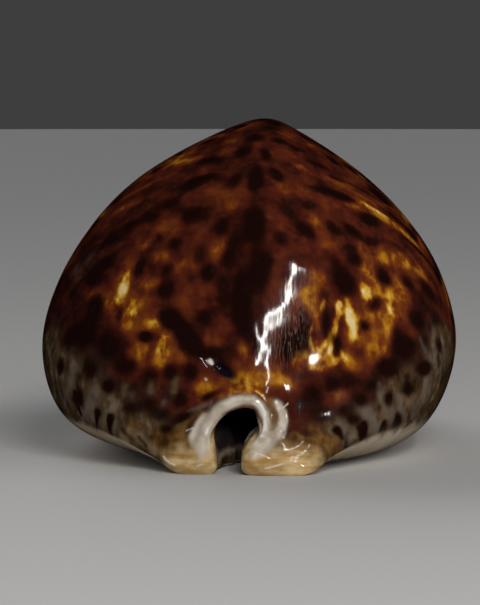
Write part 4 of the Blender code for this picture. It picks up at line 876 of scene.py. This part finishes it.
def streaks(places, kind, sharpness=2.4):
    """How much of the streaks of one kind covers each place."""
    left = np.ones(len(places))
    for width, strength, line in STREAKS[kind]:
        near, gaps = line_gap(places, line, MARK_REACH * width * MM)
        left[near] *= 1.0 - strength * coverage(gaps / (width * MM), sharpness)
    return 1.0 - left


def paint(points, marks, sharpness=2.6):
    """How much of a list of marks covers each point."""
    left = np.ones(len(points["place"]))
    for across, along, up, wide, tall, turn, strength in marks:
        centre = np.array([across, along, up]) * MM
        away = points["place"] - centre
        reach = MARK_REACH * max(wide, tall) * MM
        near = np.flatnonzero(np.abs(away).max(1) < reach)
        if not len(near):
            continue
        away = away[near]
        normal = points["normal"][near[np.argmin((away**2).sum(1))]]

        # Up along the surface, with a hair of +Y that decides it where the surface is level
        upward = np.array([0.0, 0.001, 1.0])
        rise = upward - normal * (normal @ upward)
        rise /= np.linalg.norm(rise)
        aside = np.cross(rise, normal)
        aside *= 1.0 if aside[0] >= 0.0 else -1.0
        cos, sin = np.cos(np.radians(turn)), np.sin(np.radians(turn))
        x, y, z = away @ aside, away @ rise, away @ normal
        x, y = (x * cos + y * sin) / wide, (y * cos - x * sin) / tall
        size = np.sqrt(x**2 + y**2 + (z / max(wide, tall)) ** 2) / MM
        left[near] *= 1.0 - strength * coverage(size, sharpness)
    return 1.0 - left


def scatter(points, wanted, spacing, sizes, stretch, seed):
    """Marks of random size strewn where wanted is high, none closer together than about the spacing."""
    dice = np.random.default_rng(seed)
    odds = points["area"] * wanted
    picks = dice.choice(len(odds), size=5000, p=odds / odds.sum())
    kept = np.empty((0, 3))
    marks = []
    for place in points["place"][picks]:
        gaps = np.linalg.norm(kept - place, axis=1)
        if len(kept) and gaps.min() < spacing * MM * dice.uniform(0.8, 1.25):
            continue
        kept = np.vstack([kept, place])
        wide = dice.uniform(*sizes)
        tall = wide * dice.uniform(1.0 / stretch, stretch)
        marks.append((*(place / MM), wide, tall, dice.uniform(-90.0, 90.0), dice.uniform(0.75, 1.0)))
    return marks


def enamel_masks(wall):
    """How much there is of each kind of mark at each point of the outside, from 0 to 1."""
    grid = wall.outside
    normal = wall.out_normal().reshape(-1, 3)
    flat = grid.reshape(-1, 3)
    along = np.linalg.norm(np.gradient(grid, axis=0), axis=-1)
    around = np.linalg.norm(np.gradient(grid, axis=1), axis=-1)
    points = {"place": flat, "normal": normal, "area": (along * around).reshape(-1) + 1e-12}
    x, y, z = (flat / MM).T

    # The flanks' grey-brown, below a wavy line whose height changes round the shell, and the cream base
    ceiling = FLANK_BY_CANAL + (FLANK_AT_SIDES - FLANK_BY_CANAL) * smooth(np.abs(x), 8.0, 29.0)
    ceiling += (FLANK_ALONG - ceiling) * smooth(y, -26.0, -8.0)
    flank = smooth(ceiling + 3.5 * ripple(flat / MM, 14.0, 5) - z, -4.0, 4.0)
    back = 1.0 - flank
    base = smooth(-normal[:, 2], 0.30, 0.90) * smooth(9.0 - z, 0.0, 5.0)

    # The spire's end has marks of its own, and the rest is strewn with spots and gold
    strewn = smooth(normal[:, 1] + 0.02 * (y + 12.0), -0.28, 0.05)
    spots = scatter(points, strewn * (back + SPARSE), *STREWN_SPOTS)
    spots += scatter(points, strewn * (flank * (1.0 - base) + 0.5 * SPARSE), *STREWN_FLANK_SPOTS)
    gold = scatter(points, strewn * (back + 0.5 * SPARSE), *STREWN_GOLD)
    shades = scatter(points, back + SPARSE, *STREWN_SHADES)
    # Painted shade: the left of the spire's end is darkened where less light falls
    left_side_shade = smooth(-x, 9.0, 25.0) * smooth(-y, 8.0, 24.0)
    golden = either(paint(points, GOLD_AND_HALO_MARKS, 2.2), 0.9 * paint(points, gold, 2.0), streaks(flat, "gold"))
    front = distance_to(wall.outside, wall.front_crest).reshape(-1) / MM
    flange = smooth(6.0 - z, 0.0, 4.5) * smooth(-y, 35.0, 40.0) * smooth(13.5 - np.abs(x + 1.0), 0.0, 6.0)
    return {
        "dark_spots": either(paint(points, DARK_SPOTS), paint(points, spots), streaks(flat, "spot")),
        # Random darker patches, and the painted shade on the left of the spire's end
        "deep_spots_and_side_shade": np.maximum(0.6 * paint(points, shades, 2.0), left_side_shade),
        "gold_and_halo_marks": golden,
        "cream_and_halo_marks": either(paint(points, CREAM_AND_HALO_MARKS, 2.2), streaks(flat, "cream")),
        "warm_marks": np.maximum(paint(points, WARM_MARKS, 2.0), 0.5 * strewn * back),
        "pale_marks": either(0.6 * paint(points, PALE_MARKS, 2.2), streaks(flat, "pale")),
        "white_rim": streaks(flat, "white", 2.0),
        # Painted highlights, from the shine streaks
        "painted_highlights": streaks(flat, "shine"),
        "olive_marks_and_groove_shade": either(streaks(flat, "olive"), streaks(flat, "groove")),
        "tan_marks": streaks(flat, "tan"),
        "margin_marks": streaks(flat, "margin"),
        "worn_sheen": paint(points, WORN_SHEEN_MARKS, 2.0),
        "flank": flank,
        "base": base,
        # Where the pit lies, which takes the painted dark reflection
        "pit": wall.pit.reshape(-1),
        "front_rim": np.exp(-((front / FRONT_RIM_WIDTH) ** 4)),
        "flange": flange,
        # The painted shade of the hollow lies only on the inside skin
        "hollow": np.zeros(len(flat)),
    }


class Value:
    """One output of a node. Sums and products of outputs add Math nodes to their material."""

    def __init__(self, tree, socket=None):
        self.tree = tree
        self.socket = socket

    def node(self, kind, settings, inputs, output=0):
        """A new node: its type, its settings, which come first, and the values or links of its sockets."""
        made = self.tree.nodes.new(kind)
        for name, setting in settings.items():
            setattr(made, name, setting)
        for name, value in inputs.items():
            if isinstance(value, Value):
                self.tree.links.new(value.socket, made.inputs[name])
            else:
                made.inputs[name].default_value = value
        return Value(self.tree, made.outputs[output] if made.outputs else None)

    def math(self, operation, *values):
        return self.node("ShaderNodeMath", {"operation": operation}, dict(enumerate(values)))

    def __add__(self, other):
        return self.math("ADD", self, other)

    __radd__ = __add__

    def __sub__(self, other):
        return self.math("SUBTRACT", self, other)

    def __rsub__(self, other):
        return self.math("SUBTRACT", other, self)

    def __mul__(self, other):
        return self.math("MULTIPLY", self, other)

    __rmul__ = __mul__

    def step(self, low, high):
        """0 below low, 1 above high, and a smooth step between them."""
        values = {"Value": self, "From Min": low, "From Max": high}
        return self.node("ShaderNodeMapRange", {"interpolation_type": "SMOOTHSTEP"}, values)

    def stretched(self, scales):
        """A place with each axis scaled: noise there is drawn out along the axes with small scales."""
        return self.node("ShaderNodeVectorMath", {"operation": "MULTIPLY"}, {0: self, 1: scales})

    def ramp(self, stops):
        """A colour that changes with this value: pairs of place and colour."""
        made = self.node("ShaderNodeValToRGB", {}, {"Fac": self})
        elements = made.socket.node.color_ramp.elements
        while len(elements) < len(stops):
            elements.new(0.5)
        for element, (place, colour) in zip(elements, stops):
            element.position = place
            element.color = (*colour, 1.0)
        return made

    def blend(self, *colours):
        """The first colour turning into the second as this value goes from 0 to 1."""
        first, second = (each if isinstance(each, Value) else (*each, 1.0) for each in colours)
        return self.node("ShaderNodeMix", {"data_type": "RGBA"}, {0: self, 6: first, 7: second}, 2)


def make_enamel(settings):
    """Spotted enamel. Each kind of mark is a mask in the mesh, and noise makes its edge ragged here."""
    material = bpy.data.materials.new("spotted_enamel")
    material.use_nodes = True
    material.node_tree.nodes.clear()
    start = Value(material.node_tree)
    place = start.node("ShaderNodeTexCoord", {}, {}, "Object")
    mm = start.node("ShaderNodeVectorMath", {"operation": "SCALE"}, {0: place, "Scale": 1.0 / MM})

    def mask(name):
        return start.node("ShaderNodeAttribute", {"attribute_name": name}, {}, "Fac")

    def cloud(size, detail, seed, at=mm):
        """Noise around 0 whose lumps have a size in millimetres."""
        inputs = {"Vector": at, "W": seed, "Scale": 1.0 / size, "Detail": detail, "Roughness": 0.5}
        return start.node("ShaderNodeTexNoise", {"noise_dimensions": "4D"}, inputs, "Fac") - 0.5

    fine = cloud(0.8, 1.0, 1.0)
    medium = cloud(1.6, 2.0, 2.0)
    large = cloud(5.0, 3.0, 3.0)
    mottle = cloud(2.6, 3.0, 5.0)
    drips = cloud(1.1, 2.0, 8.0, mm.stretched((1.0, 0.8, 0.4)))
    growth = cloud(1.1, 2.0, 9.0, mm.stretched((0.3, 1.0, 1.4)))
    scratch = cloud(1.0, 0.0, 7.0, mm.stretched((3.0, 1.0, 0.35)))
    ragged = 0.45 * medium + 0.30 * fine
    dark_spots = mask("dark_spots")
    flank = mask("flank")

    # The ground: the glow runs from the darkest brown to cream
    halo = (dark_spots + 0.4 * medium).step(0.0, 0.6)
    # Deep spots are random darker patches, and the left of the spire's end is painted shade
    deep = (mask("deep_spots_and_side_shade") + 0.7 * medium).step(0.2, 0.9)
    # Cream and gold marks include a painted halo round the round light's highlight
    cream = (mask("cream_and_halo_marks") + 0.5 * drips + 0.3 * fine).step(0.1, 1.0)
    glow = 0.245 + 0.55 * mottle + 0.22 * large + 0.10 * fine
    glow = glow + 0.18 * mask("warm_marks") + (0.33 + 0.6 * medium + 0.9 * drips) * mask("gold_and_halo_marks")
    glow = glow + (0.48 + 0.8 * drips) * cream - 0.11 * deep - 0.09 * halo
    tints = (settings.mahogany, settings.chestnut, settings.amber, settings.gold, settings.cream)
    brown = glow.ramp(list(zip(GROUND_PLACES, (*DARKEST_BROWNS, *tints))))

    # The flanks: dim above, with dark and pale bars below, their grey-brown partly painted shade where the
    # light falls off at the sides
    dim = (medium + 1.4 * drips + 0.5).step(0.0, 1.0)
    bars = medium + 1.8 * drips + 0.5
    lower = bars.step(0.55, 1.0).blend(bars.step(0.05, 0.5).blend(*LOWER_FLANK_SHADED), settings.flank_bars)
    body = flank.blend(brown, flank.step(0.6, 1.0).blend(dim.blend(*UPPER_FLANK_SHADED), lower))

    # The marks that lie over them, one on another
    pale = mask("pale_marks") * (0.75 + 1.6 * drips) + 0.3 * fine
    patchy = (1.4 * medium + 1.2 * drips + 0.45).step(0.0, 1.0)
    spot = (dark_spots + 0.7 * ragged).step(0.18, 0.82) * (1.0 - mask("base"))
    turned = {"Vector": mm, "Rotation": (0.0, 0.45, 0.0), "Scale": (2.6, 0.6, 0.28)}
    wear = cloud(1.0, 2.0, 12.0, start.node("ShaderNodeMapping", {}, turned))
    hair_lines = (0.05 - wear.math("ABSOLUTE", wear)).step(0.0, 0.05)
    base = (1.5 * large + 0.5).step(0.1, 0.9).blend(settings.base, BASE_SHADE)
    flange = (medium + 1.6 * growth + 0.5).step(0.0, 1.0).blend(FLANGE_SHADE, settings.flange)
    rim = (2.2 * medium + 0.5).step(0.0, 1.0).blend(RIM_SHADE, settings.rim)
    layers = [
        ((mask("tan_marks") + 0.5 * ragged).step(0.0, 0.9), patchy.blend(*TAN)),
        # Olive marks, and painted shade along the canal's outer groove
        ((mask("olive_marks_and_groove_shade") + 0.5 * ragged).step(0.1, 0.9), OLIVE),
        (pale.step(0.0, 1.0), PALE),
        ((mask("margin_marks") + 0.6 * drips).step(0.1, 0.95), patchy.blend(*MARGIN)),
        ((mask("base") + 0.9 * ragged).step(0.15, 0.85), base),
        (spot, settings.spots),
        # The pit: partly the spire's dark blotch, partly a painted dark reflection
        (mask("pit").step(0.2, 0.8), PIT),
        ((mask("flange") + 0.5 * ragged).step(0.05, 0.95), flange),
        (mask("front_rim").step(0.3, 0.7), FRONT_RIM),
        ((mask("white_rim") + 0.25 * ragged).step(0.0, 0.9), rim),
        # Painted highlights in white
        (mask("painted_highlights").step(0.1, 0.8), PAINTED_HIGHLIGHTS),
        # Painted shade inside the hollow
        (mask("hollow"), HOLLOW_SHADE),
        # Scratched gloss whose pale hair lines are partly painted sheen
        (0.34 * (mask("worn_sheen") * hair_lines), WORN_SHEEN),
    ]
    for share, tint in layers:
        body = share.blend(body, tint)

    bump = start.node("ShaderNodeBump", {}, {"Strength": 1.0, "Distance": SCRATCH_DEPTH, "Height": scratch})
    gloss = {"Roughness": 0.055 + 0.06 * scratch, "Specular IOR Level": 0.35, "Normal": bump}
    shader = start.node("ShaderNodeBsdfPrincipled", {}, {"Base Color": body, **gloss})
    start.node("ShaderNodeOutputMaterial", {}, {"Surface": shader})
    return material


def length_setting(name, description, default):
    """A length that a user can change."""
    return FloatProperty(
        name=name, description=description, default=default, min=0.0, subtype="DISTANCE", unit="LENGTH",
    )


def amount_setting(name, description, default, **more):
    """A strength or share that a user can change."""
    return FloatProperty(name=name, description=description, default=default, min=0.0, **more)


def colour_setting(name, description, default):
    """A colour that a user can change."""
    return FloatVectorProperty(
        name=name, description=description, default=default, size=3, min=0.0, max=1.0, subtype="COLOR",
    )


class CowrieShellSettings(bpy.types.PropertyGroup):
    """Sizes and colours of the shell"""

    tooth_reach: length_setting("Tooth reach", "How far the teeth stand into the slit", 0.75 * MM)
    pit_depth: length_setting("Pit depth", "Depth of the pit over the spire", 1.4 * MM)
    swell: length_setting("Swell", "Height of the soft waves in the enamel", 0.02 * MM)
    canal_relief: amount_setting("Canal relief", "How far the rim and flanges stand out", 1.0, max=2.0)
    mahogany: colour_setting("Mahogany", "Dark ground of the back", (0.088, 0.016, 0.0072))
    chestnut: colour_setting("Chestnut", "Warm ground of the back", (0.172, 0.042, 0.0065))
    amber: colour_setting("Amber", "Edges of the gold patches", (0.42, 0.175, 0.011))
    gold: colour_setting("Gold", "Middles of the gold patches", (0.62, 0.38, 0.055))
    cream: colour_setting("Cream", "Palest marks of the back", (0.72, 0.56, 0.28))
    spots: colour_setting("Spots", "Dark spots", (0.01, 0.003, 0.0022))
    flank_bars: colour_setting("Flank bars", "Pale bars low on the flanks", (0.165, 0.125, 0.08))
    base: colour_setting("Base", "Cream underside", (0.66, 0.56, 0.44))
    flange: colour_setting("Flanges", "Flanges beside the canal", (0.66, 0.5, 0.27))
    rim: colour_setting("Rim", "White rim of the canal", (0.66, 0.6, 0.5))


class CowrieStageSettings(bpy.types.PropertyGroup):
    """The floor, the lights and the camera"""

    floor_grey: amount_setting("Floor", "How pale the floor is", 0.55, max=1.0, subtype="FACTOR")
    room_light: amount_setting("Room light", "Brightness of the room round the stage", 0.06)
    strip_radiance: amount_setting("Strip light", "Brightness of the lights that the gloss mirrors", 60.0)
    back_strength: amount_setting("Back light", "Strength of the soft light behind the shell", 1.9)
    side_strength: amount_setting("Side light", "Strength of the soft light on the outer lip's side", 1.3)
    key_radiance: amount_setting("Key light", "Brightness of the round key light", 7.0)
    soft_radiance: amount_setting("Soft light", "Brightness of the large soft light", 0.9)


class COWRIE_OT_shell(bpy.types.Operator):
    """Make the enamelled shell on the frame's shell node"""

    bl_idname = "cowrie.shell"
    bl_label = "Cowrie shell"

    def execute(self, context):
        settings = context.scene.cowrie_shell
        wall = Wall(settings.tooth_reach, settings.pit_depth, settings.canal_relief, settings.swell)
        mesh = make_mesh(wall, "cowrie_shell")
        mesh.materials.append(make_enamel(settings))
        shell = bpy.data.objects.new("cowrie_shell", mesh)
        context.scene.collection.objects.link(shell)
        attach(shell, "root")
        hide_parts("shell")
        return {"FINISHED"}


def point_at(thing, place, target):
    """Puts a light or the camera at a place, turned to a target."""
    thing.location = place
    thing.rotation_euler = (Vector(target) - Vector(place)).to_track_quat("-Z", "Y").to_euler()


def add_light(context, name, kind, settings):
    """A light in the scene: its type and its settings."""
    lamp = bpy.data.lights.new(name, kind)
    for setting, value in settings.items():
        setattr(lamp, setting, value)
    light = bpy.data.objects.new(name, lamp)
    context.scene.collection.objects.link(light)
    return light


def add_strip(context, name, start, end, radiance):
    """A thin strip of light between two points, facing the shell."""
    start, end = Vector(start), Vector(end)
    length = (end - start).length
    energy = radiance * np.pi * length * STRIP_WIDTH
    shape = {"shape": "RECTANGLE", "size": length, "size_y": STRIP_WIDTH}
    light = add_light(context, name, "AREA", {**shape, "energy": energy, "color": WARM_WHITE})
    middle = 0.5 * (start + end)
    along = (end - start).normalized()
    across = along.cross(Vector(LIT_POINT) - middle).normalized()
    facing = along.cross(across).normalized()
    turn = Matrix((along, across, facing)).transposed()
    light.matrix_world = Matrix.Translation(middle) @ turn.to_4x4()


def add_disc(context, name, place, size, radiance, mirrored):
    """A round light facing the shell, which shows in the gloss or only lights it softly."""
    energy = radiance * np.pi * np.pi * 0.25 * size**2
    settings = {"shape": "DISK", "size": size, "energy": energy, "color": WARM_WHITE}
    light = add_light(context, name, "AREA", settings)
    point_at(light, place, LIT_POINT)
    light.visible_glossy = mirrored


def add_sky(context, name, place, strength):
    """A very soft light from far away, which lights the floor evenly and doesn't show in the gloss."""
    light = add_light(context, name, "SUN", {"energy": strength, "angle": SKY_ANGLE})
    point_at(light, place, LIT_POINT)
    light.visible_glossy = False


class COWRIE_OT_stage(bpy.types.Operator):
    """Make the pale floor, the soft lights and the camera"""

    bl_idname = "cowrie.stage"
    bl_label = "Floor, lights and camera"

    def execute(self, context):
        settings = context.scene.cowrie_stage
        bpy.ops.mesh.primitive_circle_add(vertices=96, radius=FLOOR_RADIUS, fill_type="NGON")
        floor = context.object
        floor.name = "floor"
        material = bpy.data.materials.new("pale_floor")
        material.use_nodes = True
        shader = material.node_tree.nodes["Principled BSDF"]
        shader.inputs["Base Color"].default_value = (*[settings.floor_grey] * 3, 1.0)
        shader.inputs["Roughness"].default_value = 0.7
        floor.data.materials.append(material)
        floor.visible_glossy = False

        world = bpy.data.worlds.new("studio")
        world.use_nodes = True
        backdrop = world.node_tree.nodes["Background"]
        backdrop.inputs["Color"].default_value = (*ROOM_COLOUR, 1.0)
        backdrop.inputs["Strength"].default_value = settings.room_light
        world.cycles_visibility.glossy = False
        context.scene.world = world

        for number, (start, end) in enumerate(zip(STRIP_LAMP[:-1], STRIP_LAMP[1:])):
            add_strip(context, f"strip_light_{number + 1}", start, end, settings.strip_radiance)
        add_disc(context, "round_light", ROUND_LAMP, ROUND_SIZE, settings.strip_radiance * 0.9, True)
        add_disc(context, "soft_light", SOFT_LAMP, SOFT_SIZE, settings.soft_radiance, False)
        add_sky(context, "back_light", BACK_LAMP, settings.back_strength)
        add_sky(context, "side_light", SIDE_LAMP, settings.side_strength)
        add_disc(context, "key_light", KEY_LAMP, KEY_SIZE, settings.key_radiance, False)

        lens = bpy.data.cameras.new("camera")
        lens.lens = LENS
        lens.sensor_width = SENSOR
        lens.shift_x, lens.shift_y = LENS_SHIFT
        lens.clip_start = 0.01
        lens.clip_end = 20.0
        camera = bpy.data.objects.new("camera", lens)
        target = Vector(CAMERA_TARGET)
        away = Vector((0.0, -np.cos(CAMERA_TILT), np.sin(CAMERA_TILT)))
        point_at(camera, target + CAMERA_DISTANCE * away, target)
        context.scene.collection.objects.link(camera)
        context.scene.camera = camera
        context.scene.view_settings.view_transform = "Standard"
        return {"FINISHED"}


class COWRIE_PT_panel(bpy.types.Panel):
    """Lists the shell and its stage in the sidebar"""

    bl_idname = "COWRIE_PT_panel"
    bl_label = "Tiger cowrie shell"
    bl_space_type = "VIEW_3D"
    bl_region_type = "UI"
    bl_category = "Cowrie"

    def draw(self, context):
        scene = context.scene
        for name, group in (("cowrie.shell", scene.cowrie_shell), ("cowrie.stage", scene.cowrie_stage)):
            box = self.layout.box()
            box.operator(name)
            for setting in group.bl_rna.properties.keys():
                if setting not in ("rna_type", "name"):
                    box.prop(group, setting)


CLASSES = (CowrieShellSettings, CowrieStageSettings, COWRIE_OT_shell, COWRIE_OT_stage, COWRIE_PT_panel)


def register():
    for each in CLASSES:
        bpy.utils.register_class(each)
    bpy.types.Scene.cowrie_shell = PointerProperty(type=CowrieShellSettings)
    bpy.types.Scene.cowrie_stage = PointerProperty(type=CowrieStageSettings)


def unregister():
    del bpy.types.Scene.cowrie_stage
    del bpy.types.Scene.cowrie_shell
    for each in reversed(CLASSES):
        bpy.utils.unregister_class(each)


def main():
    register()
    bpy.ops.cowrie.shell()
    bpy.ops.cowrie.stage()


if __name__ == "__main__":
    main()
